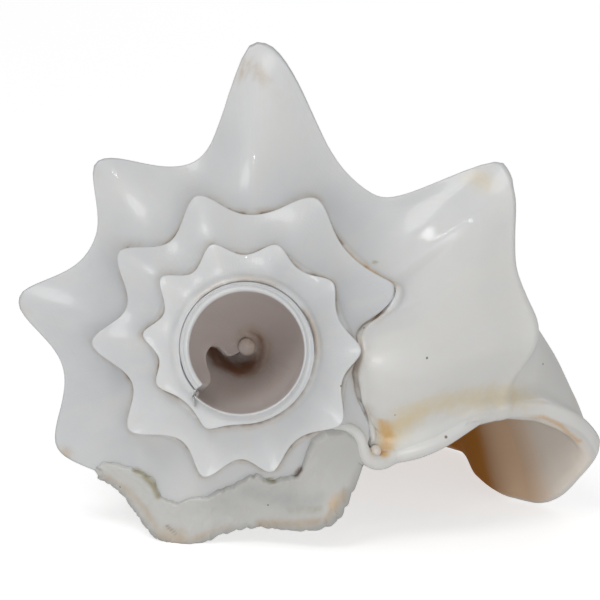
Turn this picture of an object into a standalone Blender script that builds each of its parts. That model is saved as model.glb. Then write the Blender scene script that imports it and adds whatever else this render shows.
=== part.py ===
"""Milk conch shell, lying on its aperture, with its apex ground off flat.

The shell is one piece and hollow. Its wall is a sheet that winds round the shell's axis, from
the broken edge that shows in the apex hole to the flared lip. Each turn of the sheet starts on
the turn before it, at the suture, and ends on the columella, the column along the axis.

Shell frame: Y runs along the axis from the apex to the canal, X to the right and Z up as one
looks at the apex. "Turn" is the angle of growth in degrees, clockwise as seen from the apex,
from 0 at +X. Along the wall, "reach" is 0 at the suture, 1 on the shoulder's crest and 2 at the
columella. Degrees and millimetres are used throughout, and placing the mesh makes metres.
"""

import functools
import math

import bmesh
import bpy
import numpy as np
from mathutils import Matrix, Vector

MM = 0.001
WHOLE_TURN = 360.0

# Growth: the shoulder's radius by turn, and its depth from the spire's end for each of radius
FIRST_TURN = -220.0
LIP_TURN = 1118.0
STATION_STEP = 6.0
SHOULDER_RADIUS = (
    (-580, 9.5),
    (-220, 14.6),
    (0, 15.6),
    (90, 16.9),
    (233, 19.6),
    (451, 23.8),
    (674, 31.2),
    (893, 41.0),
    (1118, 47.0),
)
SPIRE_STEEPNESS = 1.1

# Wall below the shoulder, in shoulder radii: share of the way down, radius or drop
BODY_RADIUS = ((0, 1.0), (0.1, 0.995), (0.25, 0.95), (0.45, 0.82), (0.65, 0.61), (0.82, 0.39), (0.93, 0.23), (1, 0.14))
BODY_DROP = ((0, 0.0), (0.1, 0.26), (0.25, 0.66), (0.45, 1.2), (0.65, 1.75), (0.82, 2.22), (0.93, 2.52), (1, 2.75))
STEEPEST_DROP = 2.6
HOLLOW_END = 0.9
RAMP_SAG = 0.04
SUTURE_REACH = 1.03

# Knobs: turn, radius to the tip, width in degrees on the early and on the late side
KNOBS = (
    (116, 19.9, 10, 10),
    (158, 21.5, 10, 10),
    (188, 23.3, 9, 9),
    (220, 24.9, 9, 9),
    (252, 24.7, 10, 10),
    (287, 24.5, 10, 10),
    (323, 24.8, 10, 10),
    (361, 26.2, 10, 10),
    (398, 27.7, 11, 11),
    (438, 28.7, 9, 9),
    (468, 30.8, 9, 9),
    (505, 32.5, 10, 10),
    (542, 35.2, 10, 10),
    (577, 36.4, 10, 10),
    (612, 36.6, 10, 10),
    (655, 37.9, 11, 11),
    (702, 38.8, 11, 7),
    (785, 44.0, 13, 19),
    (831, 48.3, 13, 17),
    (872, 49.4, 13, 12),
    (912, 54.3, 10, 9),
    (951, 55.4, 8, 11),
    (992, 71.5, 8, 15),
    (1049, 71.7, 8, 26),
    (1093, 58.0, 19, 14),
)
KNOB_ROUNDING = 0.25
KNOB_POWER = 1.6
KNOB_LEAN = math.radians(12)
KNOB_FADE = 0.07
HOLLOW_KNOB_SHARE = 0.25
HOLLOW_KNOB_SPREAD = 1.4

# Wall thickness by turn, and how far down the turn before it spreads where it lands
WALL = ((-220, 2.3), (500, 2.6), (1000, 3.2), (1040, 3.4), (1118, 5.0))
LANDING_SPREAD = 1.4

# The ground face across the apex: its depth, the ring's middle radius and the groove round it
GROUND_FACE = 17.8
GROOVE = 0.35
RING_RADIUS = ((-220, 13.6), (-90, 14.2), (0, 14.0), (90, 15.2), (140, 15.8))

# The lip climbs the spire: reach of its suture by turn, on the turn before
LIP_SUTURE = (
    (-580, SUTURE_REACH),
    (694, SUTURE_REACH),
    (705, 0.75),
    (709, 0.45),
    (715, 0.24),
    (723, 0.17),
    (731, 0.21),
    (738, 0.33),
    (744, 0.47),
    (749, 0.72),
    (753, 0.95),
    (758, SUTURE_REACH),
    (1118, SUTURE_REACH),
)

# The lip's edge: reach, degrees past the last whole turn, radius and depth
LIP_EDGE = (
    (0.15, 40.5, 37.9, 45),
    (0.35, 38.0, 43.4, 46),
    (0.55, 31.0, 48.0, 47),
    (0.8, 21.0, 54.5, 50),
    (1.0, 15.0, 61.1, 54),
    (1.08, 13.5, 70.8, 61),
    (1.16, 15.0, 80.5, 69),
    (1.24, 18.0, 87.3, 78),
    (1.32, 21.7, 87.9, 85),
    (1.4, 25.7, 82.8, 94),
    (1.48, 26.9, 76.4, 104),
    (1.56, 25.7, 68.4, 116),
    (1.65, 21.8, 59.0, 130),
    (1.75, 21.1, 49.5, 145),
    (1.84, 36.0, 34.0, 158),
    (1.91, 46.0, 21.0, 168),
    (1.96, 46.0, 12.0, 175),
    (2.0, 40.0, 6.5, 180),
)
LIP_COVER = 12.0
FLARE_TURN = 1010.0
SWING_TURN = 1030.0
FLARE_POWER = 2.0
RIM_BULGE = 2.0

# The broken edge inside the apex hole: reach, and degrees it is broken back
BROKEN_EDGE = ((0, 0), (1.1, 0), (1.3, -5), (1.42, 2), (1.5, 30), (1.62, 42), (1.75, 38), (1.87, 8), (2, 0))
BROKEN_FADE = 110.0

# Where the axis comes to the surface, at the apex end of the columella and at the canal
APEX_TIP_DEPTH = 46.0
CANAL_TIP_DEPTH = 182.0

# Columns of the mesh along the wall, and rows of the strips that close it
RAMP_SHARES = (0, 0.16, 0.34, 0.52, 0.7, 0.84, 0.93, 0.97, 1)
BODY_SHARES = (0, 0.05, 0.1, 0.17, 0.25, 0.34, 0.43, 0.52, 0.62, 0.73, 0.84, 0.93, 1)
LANDING = len(RAMP_SHARES) - 1
COLUMN_ROWS = 4
RIM_ROWS = 3
TIP_ROWS = 2
TRIANGLES = 9700

# How the shell lies: degrees it pitches and rolls from the shell frame, and its worn contacts
PITCH = 12.1
ROLL = -3.32
WORN = 0.5


def curve_through(knots, at):
    """A smooth curve through (x, y) knots that never swings past them."""
    xs, ys = np.array(knots, float).T[:2]
    gaps = np.diff(xs)
    rises = np.diff(ys) / gaps
    before, after = rises[:-1], rises[1:]
    product = before * after
    total = np.where(product > 0, before + after, 1)
    inner = np.where(product > 0, 2 * product / total, 0)
    slopes = np.concatenate([rises[:1], inner, rises[-1:]])
    at = np.clip(np.asarray(at, float), xs[0], xs[-1])
    k = np.clip(np.searchsorted(xs, at, side="right") - 1, 0, len(xs) - 2)
    t = (at - xs[k]) / gaps[k]
    return (
        (1 + 2 * t) * (1 - t) ** 2 * ys[k]
        + t * (1 - t) ** 2 * gaps[k] * slopes[k]
        + t * t * (3 - 2 * t) * ys[k + 1]
        - t * t * (1 - t) * gaps[k] * slopes[k + 1]
    )


def shoulder(turn):
    """Radius and depth of the shoulder's crest, without its knobs."""
    radius = curve_through(SHOULDER_RADIUS, turn)
    return radius, SPIRE_STEEPNESS * radius


def knob_lift(turn, share=1.0, spread=1.0):
    """How far the knobs lift the crest at a turn."""
    turns, tip_radii, early, late = np.array(KNOBS, float).T
    away = turn - turns
    width = spread * np.where(away < 0, early, late)
    fall = np.hypot(away / width, KNOB_ROUNDING) ** KNOB_POWER - KNOB_ROUNDING**KNOB_POWER
    return share * float(np.sum((tip_radii - shoulder(turns)[0]) * np.exp(-fall)))


def below_shoulder(turn, down, lift):
    """Radius and depth of the wall below the crest. It runs straight on where down is negative."""
    radius, depth = shoulder(turn)
    fade = lift * np.exp(-np.maximum(down, 0) / KNOB_FADE)
    r = radius * curve_through(BODY_RADIUS, down) + fade * math.cos(KNOB_LEAN)
    y = depth + radius * (curve_through(BODY_DROP, down) + STEEPEST_DROP * np.minimum(down, 0))
    return r, y - fade * math.sin(KNOB_LEAN)


def climb(turn):
    """How far up the turn before it a turn's foot has climbed past the usual suture."""
    return SUTURE_REACH - curve_through(LIP_SUTURE, turn - WHOLE_TURN)


def foot(turn, share, spread):
    """Where the ramp of a turn starts: on the turn before it or, on the first one, on the ground face."""
    before = turn - WHOLE_TURN
    if before < FIRST_TURN:
        return curve_through(RING_RADIUS, turn), GROUND_FACE
    reach = curve_through(LIP_SUTURE, before)
    return section(before, reach, share, spread)


def section(turn, reach, share=1.0, spread=1.0):
    """Radius and depth of the wall at one turn, before the lip flares."""
    lift = knob_lift(turn, share, spread)
    down_r, down_y = below_shoulder(turn, np.maximum(reach - 1, 0), lift)
    if np.min(reach) >= 1:
        return down_r, down_y
    radius, depth = shoulder(turn)
    u = np.clip(reach, 0, 1)
    foot_r, foot_y = foot(turn, share, spread)
    plain_r, plain_y = foot(turn, 0.0, 1.0)
    ramp_r = plain_r + (radius - plain_r) * u + (foot_r - plain_r) * (1 - u) ** 2
    ramp_y = plain_y + (depth - plain_y) * u + (foot_y - plain_y) * (1 - u) ** 2
    ramp_r = ramp_r + lift * math.cos(KNOB_LEAN) * u**2
    ramp_y = ramp_y - lift * math.sin(KNOB_LEAN) * u**2 + RAMP_SAG * radius * 4 * u * (1 - u)
    ramp_y = ramp_y - LIP_COVER * climb(turn) * np.sin(math.pi * u**0.8)
    return np.where(reach < 1, ramp_r, down_r), np.where(reach < 1, ramp_y, down_y)


@functools.cache
def lip_moves():
    """Reach, and how far the lip's edge lies from where it would be with no flare."""
    knots = np.array(LIP_EDGE)
    end_r, end_y = section(LIP_TURN, knots[:, 0])
    moves = [knots[:, 0], knots[:, 1] + 3 * WHOLE_TURN - LIP_TURN, knots[:, 2] - end_r, knots[:, 3] - end_y]
    return np.insert(np.stack(moves, 1), 0, 0.0, axis=0)


def flare(turn, reach):
    """How far the lip's flare moves the wall at one turn: in turn, radius and depth."""
    flared = np.clip((turn - FLARE_TURN) / (LIP_TURN - FLARE_TURN), 0, 1) ** FLARE_POWER
    swung = np.clip((turn - SWING_TURN) / (LIP_TURN - SWING_TURN), 0, 1)
    swing, out, down = (curve_through(lip_moves()[:, [0, k]], reach) for k in (1, 2, 3))
    return swung * swing, flared * out, flared * down


def outer_reaches(turn):
    """The reach of each column. The next turn's wall lands between columns LANDING and LANDING + 1."""
    radius, depth = shoulder(turn)
    radius_before, depth_before = shoulder(turn - WHOLE_TURN)
    ramp_length = math.hypot(radius - radius_before, depth - depth_before)
    body_length = 2.9 * radius
    landing = float(curve_through(LIP_SUTURE, turn))
    along = landing * ramp_length if landing < 1 else ramp_length + (landing - 1) * body_length
    along += LANDING_SPREAD * curve_through(WALL, turn + WHOLE_TURN)
    below = along / ramp_length if along < ramp_length else 1 + (along - ramp_length) / body_length
    return np.concatenate([landing * np.array(RAMP_SHARES), below + (2 - below) * np.array(BODY_SHARES)])


def outer_station(turn):
    """One station of the wall's outer face, as rows of turn, radius and depth."""
    reach = outer_reaches(turn)
    r, y = section(turn, reach)
    lowered = max(0.0, GROUND_FACE + GROOVE - y[LANDING])
    under = np.arange(len(reach)) >= LANDING
    y = np.where(under, y + lowered * np.exp(-(reach - reach[LANDING]) / 0.15), np.maximum(y, GROUND_FACE))
    swing, out, down = flare(turn, reach)
    return np.stack([turn + swing, r + out, y + down], 1)


def inner_station(turn):
    """The hollow's line under the outer face at one turn, before the wall's thickness is taken off."""
    reach = outer_reaches(turn)
    down = (reach - 1) * (1 - (1 - HOLLOW_END) * np.clip(reach - 1, 0, 1) ** 3)
    if turn < FIRST_TURN + WHOLE_TURN:
        radius, depth = shoulder(turn)
        top = (GROUND_FACE - depth) / (STEEPEST_DROP * radius)
        steps = np.arange(LANDING + 2) / (LANDING + 1)
        down[: LANDING + 2] = top + (down[LANDING + 1] - top) * steps
        r, y = below_shoulder(turn, down, 0.0)
        reach = np.full(len(reach), 2.0)
    else:
        reach = np.where(reach > 1, 1 + down, reach)
        r, y = section(turn, reach, HOLLOW_KNOB_SHARE, HOLLOW_KNOB_SPREAD)
    swing, out, lower = flare(turn, reach) if turn > FLARE_TURN else (0.0, 0.0, 0.0)
    return np.stack([turn + swing + 0 * r, r + out, y + lower], 1)


def to_xyz(points):
    """Shell-frame X, Y, Z of rows of turn, radius and depth."""
    turn, r, y = np.moveaxis(points, -1, 0)
    angle = np.radians(turn)
    return np.stack([r * np.cos(angle), y, -r * np.sin(angle)], -1)


def to_turn(xyz, near):
    """Rows of turn, radius and depth of shell-frame points, with turns within half a turn of near."""
    x, y, z = np.moveaxis(xyz, -1, 0)
    angle = np.degrees(np.arctan2(-z, x))
    return np.stack([near + (angle - near + 180) % 360 - 180, np.hypot(x, z), y], -1)


def hollow_face(turns):
    """The wall's inner face: the line of the hollow moved in by the wall's thickness."""
    line = np.stack([inner_station(turn) for turn in turns])
    xyz = to_xyz(line)
    along_growth = np.gradient(xyz, axis=0)
    along_wall = np.gradient(xyz, axis=1)
    inward = np.cross(along_wall, along_growth)
    inward /= np.linalg.norm(inward, axis=2, keepdims=True)
    thickness = curve_through(WALL, turns)[:, None, None]
    return to_turn(xyz + thickness * inward, line[:, :, 0])


def columella(inner_end, outer_end):
    """Rows from the end of a turn's inner face to the end of the outer face of the turn before."""
    t = np.linspace(0, 1, COLUMN_ROWS + 1)[:, None]
    lead = outer_end + [WHOLE_TURN, 0, 0]
    rows = inner_end * (1 - t) + lead * t
    rows[:, 1] -= 0.12 * (inner_end[1] + outer_end[1]) * 4 * t[:, 0] * (1 - t[:, 0])
    return rows


def run_to(start, end, rows):
    t = np.linspace(0, 1, rows + 1)[:, None]
    return start * (1 - t) + end * t


def winding_tip(edge, seam, pole_depth, seam_last):
    """A closing strip over one turn's edge, from the edge to a pole on the axis.

    The seam is the edge of the strips that meet it at one end of the turn: the last, where
    seam_last is true, or the first. At the other end the seam has shrunk to a point.
    """
    share = np.linspace(0, 1, len(seam))[:, None]
    bend = seam - seam[0] - share * (seam[-1] - seam[0])
    stations = []
    for i, point in enumerate(edge):
        t = i / (len(edge) - 1)
        grown = t if seam_last else 1 - t
        end = np.array([point[0] + grown * (seam[-1][0] - seam[0][0]), seam[-1][1], seam[-1][2]])
        rows = point + share * (end - point) + grown * bend
        pole = np.array([end[0], 0.0, pole_depth])
        stations.append(np.concatenate([rows, run_to(rows[-1], pole, TIP_ROWS)[1:]]))
    return np.array(stations)


def lip_rim(outer, inner):
    """Rows from the outer to the inner face at the lip, rounded out along the growth."""
    forward = outer[-1] - outer[-2]
    forward /= np.linalg.norm(forward, axis=1, keepdims=True)
    rows = []
    for t in np.linspace(0, 1, RIM_ROWS + 1):
        row = outer[-1] * (1 - t) + inner[-1] * t + RIM_BULGE * math.sin(math.pi * t) * forward
        row[0] = outer[-1][0] if t < 0.5 else inner[-1][0]
        rows.append(row)
    return np.stack(rows)


def add_quads(mesh, xyz, keep=None):
    """Adds a grid of points with a face between each four of them, or between those kept."""
    rows = [[mesh.verts.new(point * MM) for point in row] for row in xyz]
    for a in range(len(rows) - 1):
        for b in range(len(rows[0]) - 1):
            if keep is None or keep(a, b):
                mesh.faces.new((rows[a][b], rows[a + 1][b], rows[a + 1][b + 1], rows[a][b + 1]))


def shell_mesh():
    """The whole shell as one closed mesh in the shell frame."""
    stations = int(round((LIP_TURN - FIRST_TURN) / STATION_STEP)) + 1
    per_turn = int(round(WHOLE_TURN / STATION_STEP))
    turns = FIRST_TURN + STATION_STEP * np.arange(stations)
    last_landing = stations - 1 - per_turn

    outer = np.stack([outer_station(turn) for turn in turns])
    inner = hollow_face(turns)
    reach = np.stack([outer_reaches(turn) for turn in turns])
    broken = np.clip(1 - (turns - FIRST_TURN) / BROKEN_FADE, 0, 1)[:, None] ** 2
    outer[:, :, 0] += broken * curve_through(BROKEN_EDGE, reach)
    inner[:, :, 0] += broken * curve_through(BROKEN_EDGE, reach)

    inner[:per_turn, 0, 2] = GROUND_FACE
    for i in range(per_turn, stations):
        before = outer[i - per_turn]
        outer[i, 0] = before[LANDING] + [WHOLE_TURN, 0, 0]
        start = before[LANDING + 1] + [WHOLE_TURN, 0, 0]
        fade = np.clip(1 - reach[i] / 0.5, 0, 1)[:, None] ** 2
        inner[i] += fade * (start - inner[i, 0])

    columns = np.stack([columella(inner[i, -1], outer[i - per_turn, -1]) for i in range(per_turn, stations)])
    back = np.array([WHOLE_TURN, 0, 0])
    apex_seam = np.concatenate([columns[0], [inner[0, -1] + back]])
    outer_xyz = to_xyz(outer)
    inner_xyz = to_xyz(inner)
    rim = lip_rim(outer_xyz, inner_xyz)
    rim_end = to_turn(rim[::-1, -1], LIP_TURN)
    canal_seam = np.concatenate([columns[-1][::-1], rim_end[1:]]) - back
    apex_tip = winding_tip(inner[: per_turn + 1, -1], apex_seam, APEX_TIP_DEPTH, True)
    canal_tip = winding_tip(outer[last_landing:, -1], canal_seam, CANAL_TIP_DEPTH, False)

    mesh = bmesh.new()
    add_quads(mesh, outer_xyz, lambda i, j: j != LANDING or i >= last_landing)
    add_quads(mesh, inner_xyz)
    add_quads(mesh, np.stack([outer_xyz[: per_turn + 1, 0], inner_xyz[: per_turn + 1, 0]], 1))
    add_quads(mesh, np.stack([outer_xyz[0], inner_xyz[0]]))
    add_quads(mesh, rim)
    add_quads(mesh, to_xyz(columns))
    add_quads(mesh, to_xyz(apex_tip))
    add_quads(mesh, to_xyz(canal_tip))
    bmesh.ops.remove_doubles(mesh, verts=mesh.verts, dist=1e-6)
    bmesh.ops.recalc_face_normals(mesh, faces=mesh.faces)
    return mesh


def keep_triangles(shell, wanted):
    """Thins the mesh out to the number of triangles wanted."""
    triangles = sum(len(face.vertices) - 2 for face in shell.data.polygons)
    thin = shell.modifiers.new("Thin out", "DECIMATE")
    thin.ratio = wanted / triangles
    thin.use_collapse_triangulate = True
    bpy.context.view_layer.objects.active = shell
    bpy.ops.object.modifier_apply(modifier=thin.name)


def lay_down(shell):
    """Turns the shell so that it rests on the floor, with the middle of its box over the origin."""
    turned = Matrix.Rotation(math.radians(-PITCH), 4, "X") @ Matrix.Rotation(math.radians(ROLL), 4, "Y")
    mesh = bmesh.new()
    mesh.from_mesh(shell.data)
    for vertex in mesh.verts:
        if abs(vertex.co.y - GROUND_FACE * MM) < 0.15 * MM:
            vertex.co.y = GROUND_FACE * MM
    mesh.transform(turned)
    floor = min(vertex.co.z for vertex in mesh.verts) + WORN * MM
    everything = mesh.verts[:] + mesh.edges[:] + mesh.faces[:]
    bmesh.ops.bisect_plane(mesh, geom=everything, plane_co=(0, 0, floor), plane_no=(0, 0, 1), clear_inner=True)
    bmesh.ops.holes_fill(mesh, edges=[edge for edge in mesh.edges if edge.is_boundary])
    bmesh.ops.recalc_face_normals(mesh, faces=mesh.faces)
    low = Vector(min(vertex.co[k] for vertex in mesh.verts) for k in range(3))
    high = Vector(max(vertex.co[k] for vertex in mesh.verts) for k in range(3))
    middle = (low + high) / 2
    mesh.transform(Matrix.Translation((-middle.x, -middle.y, -low.z)))
    mesh.to_mesh(shell.data)
    mesh.free()


def calcite():
    """Pale shell with a slight gloss."""
    material = bpy.data.materials.new("Shell")
    material.use_nodes = True
    principled = material.node_tree.nodes["Principled BSDF"]
    principled.inputs["Base Color"].default_value = (0.86, 0.84, 0.8, 1)
    principled.inputs["Roughness"].default_value = 0.35
    return material


def main():
    for obj in list(bpy.data.objects):
        bpy.data.objects.remove(obj)
    collection = bpy.data.collections.new("Milk conch shell")
    bpy.context.scene.collection.children.link(collection)
    data = bpy.data.meshes.new("shell")
    wound = shell_mesh()
    wound.to_mesh(data)
    wound.free()
    shell = bpy.data.objects.new("shell", data)
    collection.objects.link(shell)
    data.materials.append(calcite())
    keep_triangles(shell, TRIANGLES)
    lay_down(shell)


main()
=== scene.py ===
"""Looks of the milk conch shell: one finely wound wall, its finish, and a plain studio.

Shell frame, in millimetres: Y runs along the shell's axis from the apex to the canal, X to the
right and Z up as one looks at the apex. "Turn" is the angle of growth in degrees, clockwise as
seen from the apex, from 0 at +X. Along the wall, "reach" is 0 at the suture, 1 on the
shoulder's crest and 2 at the columella. The placement turns this into the row frame, in metres.
"""

import functools
import logging
import math
from dataclasses import dataclass, field
from enum import Enum

import bpy
import numpy as np
from mathutils import Matrix, Vector
from mathutils.bvhtree import BVHTree
from mathutils.kdtree import KDTree


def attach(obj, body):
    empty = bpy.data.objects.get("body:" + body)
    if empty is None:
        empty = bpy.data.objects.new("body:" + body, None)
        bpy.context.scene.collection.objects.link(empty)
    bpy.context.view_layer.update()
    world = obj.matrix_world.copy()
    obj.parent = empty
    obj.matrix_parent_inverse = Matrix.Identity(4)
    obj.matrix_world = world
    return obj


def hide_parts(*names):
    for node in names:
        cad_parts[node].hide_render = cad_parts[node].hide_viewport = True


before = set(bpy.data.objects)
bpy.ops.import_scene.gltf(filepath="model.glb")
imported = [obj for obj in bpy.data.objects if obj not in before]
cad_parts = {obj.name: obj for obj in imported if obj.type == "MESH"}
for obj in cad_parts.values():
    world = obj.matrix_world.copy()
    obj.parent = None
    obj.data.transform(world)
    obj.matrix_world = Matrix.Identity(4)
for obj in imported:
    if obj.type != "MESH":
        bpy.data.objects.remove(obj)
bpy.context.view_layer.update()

LOG = logging.getLogger("milk_conch_shell")
MM = 0.001
WHOLE_TURN = 360.0
PHOTO_SIDE = 600
NO_SUTURE = 99.0  # mm, stands for no suture near

# How the shell lies: degrees it pitches and rolls, and where the shell frame's origin comes, in mm
PITCH = 12.1
ROLL = -3.32
SHELL_ORIGIN = (-16.088, -96.084, 52.988)

# The photograph's view of the shell frame, in mm
CAMERA_AT = (12.3, -850.0, 10.9)
VIEW_SIDE = 139.2
VIEW_DISTANCE = 900.0

Knots = tuple[tuple[float, ...], ...]
Colour = tuple[float, float, float]


def curve_through(knots: "Knots | np.ndarray", at: "float | np.ndarray") -> np.ndarray:
    """A smooth curve through (x, y) knots that never swings past them.

    Args:
        knots: rows that start with x and y, in order of x.
        at: where to read the curve. Past its ends it stays level.

    Returns:
        The curve's values, in the shape of at.
    """
    xs, ys = np.array(knots, float).T[:2]
    gaps = np.diff(xs)
    rises = np.diff(ys) / gaps
    before, after = rises[:-1], rises[1:]
    product = before * after
    total = np.where(product > 0, before + after, 1)
    inner = np.where(product > 0, 2 * product / total, 0)
    slopes = np.concatenate([rises[:1], inner, rises[-1:]])
    at = np.clip(np.asarray(at, float), xs[0], xs[-1])
    k = np.clip(np.searchsorted(xs, at, side="right") - 1, 0, len(xs) - 2)
    t = (at - xs[k]) / gaps[k]
    return (
        (1 + 2 * t) * (1 - t) ** 2 * ys[k]
        + t * (1 - t) ** 2 * gaps[k] * slopes[k]
        + t * t * (3 - 2 * t) * ys[k + 1]
        - t * t * (1 - t) * gaps[k] * slopes[k + 1]
    )


def smooth_step(low: float, high: float, at: np.ndarray) -> np.ndarray:
    """0 below low, 1 above high and a smooth rise between them."""
    t = np.clip((np.asarray(at, float) - low) / (high - low), 0, 1)
    return t * t * (3 - 2 * t)


def bump(at: np.ndarray, width: float) -> np.ndarray:
    """1 at 0, fading to nothing over a few widths."""
    return np.exp(-((np.asarray(at, float) / width) ** 2))


def placement() -> Matrix:
    """The matrix from the shell frame in metres to the row frame."""
    turned = Matrix.Rotation(math.radians(-PITCH), 4, "X") @ Matrix.Rotation(math.radians(ROLL), 4, "Y")
    return Matrix.Translation(Vector(SHELL_ORIGIN) * MM) @ turned


def waves(points: np.ndarray, length: float, seed: int, octaves: int = 4) -> np.ndarray:
    """Smooth irregular waves through space, about -1 to 1.

    Args:
        points: places in mm, in the last axis.
        length: the longest wave in mm. Each octave halves it.
        seed: which waves.
        octaves: how many sizes of wave are added.

    Returns:
        One value for each place.
    """
    rng = np.random.default_rng(seed)
    total = np.zeros(points.shape[:-1])
    for octave in range(octaves):
        for _ in range(4):
            direction = rng.normal(size=3)
            direction *= 2 * math.pi / (length * np.linalg.norm(direction))
            phase = points @ (direction * 2**octave) + rng.uniform(0, 2 * math.pi)
            total += np.sin(phase) / (4 * 1.7**octave)
    return total


@dataclass(frozen=True)
class Growth:
    """The growth of the shell's wall, as the CAD part has it."""

    first_turn: float = -220.0
    lip_turn: float = 1118.0
    shoulder_radius: Knots = (
        (-580, 9.5), (-220, 14.6), (0, 15.6), (90, 16.9), (233, 19.6), (451, 23.8),
        (674, 31.2), (893, 41.0), (1118, 47.0),
    )
    spire_steepness: float = 1.1
    body_radius: Knots = (
        (0, 1.0), (0.1, 0.995), (0.25, 0.95), (0.45, 0.82), (0.65, 0.61), (0.82, 0.39),
        (0.93, 0.23), (1, 0.14),
    )
    body_drop: Knots = (
        (0, 0.0), (0.1, 0.26), (0.25, 0.66), (0.45, 1.2), (0.65, 1.75), (0.82, 2.22), (0.93, 2.52), (1, 2.75),
    )
    steepest_drop: float = 2.6
    hollow_end: float = 0.9
    ramp_sag: float = 0.04
    suture_reach: float = 1.03
    knobs: Knots = (
        (116, 19.9, 10, 10), (158, 21.5, 10, 10), (188, 23.3, 9, 9), (220, 24.9, 9, 9), (252, 24.7, 10, 10),
        (287, 24.5, 10, 10), (323, 24.8, 10, 10), (361, 26.2, 10, 10), (398, 27.7, 11, 11), (438, 28.7, 9, 9),
        (468, 30.8, 9, 9), (505, 32.5, 10, 10), (542, 35.2, 10, 10), (577, 36.4, 10, 10), (612, 36.6, 10, 10),
        (655, 37.9, 11, 11), (702, 38.8, 11, 7), (785, 44.0, 13, 19), (831, 48.3, 13, 17),
        (872, 49.4, 13, 12), (912, 54.3, 10, 9), (951, 55.4, 8, 11), (992, 71.5, 8, 15),
        (1049, 71.7, 8, 26), (1093, 58.0, 19, 14),
    )
    knob_rounding: float = 0.25
    knob_power: float = 1.6
    knob_lean: float = math.radians(12)
    knob_fade: float = 0.07
    crest_rounding: Knots = ((1030, 0.004), (1075, 0.06))
    hollow_knob_share: float = 0.25
    hollow_knob_spread: float = 1.4
    wall: Knots = ((-220, 2.3), (500, 2.6), (1000, 3.2), (1040, 3.4), (1118, 5.0))
    landing_spread: float = 1.4
    ground_face: float = 17.8
    groove: float = 0.35
    ring_radius: Knots = ((-220, 13.6), (-90, 14.2), (0, 14.0), (90, 15.2), (140, 15.8))
    lip_suture: Knots = (
        (-580, 1.03), (694, 1.03), (705, 0.75), (709, 0.45), (715, 0.24), (723, 0.17), (731, 0.21),
        (738, 0.33), (744, 0.47), (749, 0.72), (753, 0.95), (758, 1.03), (1118, 1.03),
    )
    lip_edge: Knots = (
        (0.15, 40.5, 37.9, 45), (0.35, 36.0, 42.4, 46), (0.55, 29.4, 47.3, 47), (0.8, 20.1, 54.1, 50),
        (1.0, 16.3, 60.6, 54), (1.08, 14.2, 70.4, 61), (1.16, 15.0, 80.5, 69), (1.24, 18.0, 87.3, 78),
        (1.32, 21.0, 86.1, 83), (1.4, 25.2, 83.9, 88), (1.48, 28.0, 80.0, 92), (1.56, 29.3, 74.0, 97),
        (1.65, 28.3, 68.1, 113), (1.75, 24.5, 62.1, 136), (1.84, 36.0, 34.0, 158), (1.91, 46.0, 21.0, 168),
        (1.96, 46.0, 12.0, 175), (2.0, 40.0, 6.5, 180),
    )
    lip_cover: float = 12.0
    cover_spread: float = 16.0
    cover_samples: int = 9
    cover_skew: float = 0.8
    flare_turn: float = 1010.0
    swing_turn: float = 1030.0
    flare_power: float = 2.0

    def shoulder(self, turn: np.ndarray) -> tuple[np.ndarray, np.ndarray]:
        """Radius and depth of the shoulder's crest, without its knobs."""
        radius = curve_through(self.shoulder_radius, turn)
        return radius, self.spire_steepness * radius

    def knob_lift(self, turn: np.ndarray, share: float = 1.0, spread: float = 1.0) -> np.ndarray:
        """How far the knobs lift the crest at each turn."""
        turns, tip_radii, early, late = np.array(self.knobs, float).T
        away = np.asarray(turn, float)[..., None] - turns
        width = spread * np.where(away < 0, early, late)
        rounding = self.knob_rounding
        fall = np.hypot(away / width, rounding) ** self.knob_power - rounding**self.knob_power
        return share * np.sum((tip_radii - self.shoulder(turns)[0]) * np.exp(-fall), axis=-1)

    def below_shoulder(
        self, turn: np.ndarray, down: np.ndarray, lift: "float | np.ndarray"
    ) -> tuple[np.ndarray, np.ndarray]:
        """Radius and depth of the wall below the crest. It runs straight on where down is negative."""
        radius, depth = self.shoulder(turn)
        rounding = curve_through(self.crest_rounding, turn)
        past = np.hypot(np.maximum(down, 0), rounding) - rounding
        fade = lift * np.exp(-past / self.knob_fade)
        r = radius * curve_through(self.body_radius, down) + fade * math.cos(self.knob_lean)
        y = depth + radius * (curve_through(self.body_drop, down) + self.steepest_drop * np.minimum(down, 0))
        return r, y - fade * math.sin(self.knob_lean)

    def foot(self, turn: np.ndarray, share: float, spread: float) -> tuple[np.ndarray, np.ndarray]:
        """Where the ramp of each turn starts: on the turn before it or, on the first, on the ground face."""
        before = turn - WHOLE_TURN
        r = curve_through(self.ring_radius, turn)
        y = np.full_like(r, self.ground_face)
        later = before >= self.first_turn
        if later.any():
            reach = curve_through(self.lip_suture, before[later])
            r[later], y[later] = self.section(before[later], reach, share, spread)
        return r, y

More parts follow.
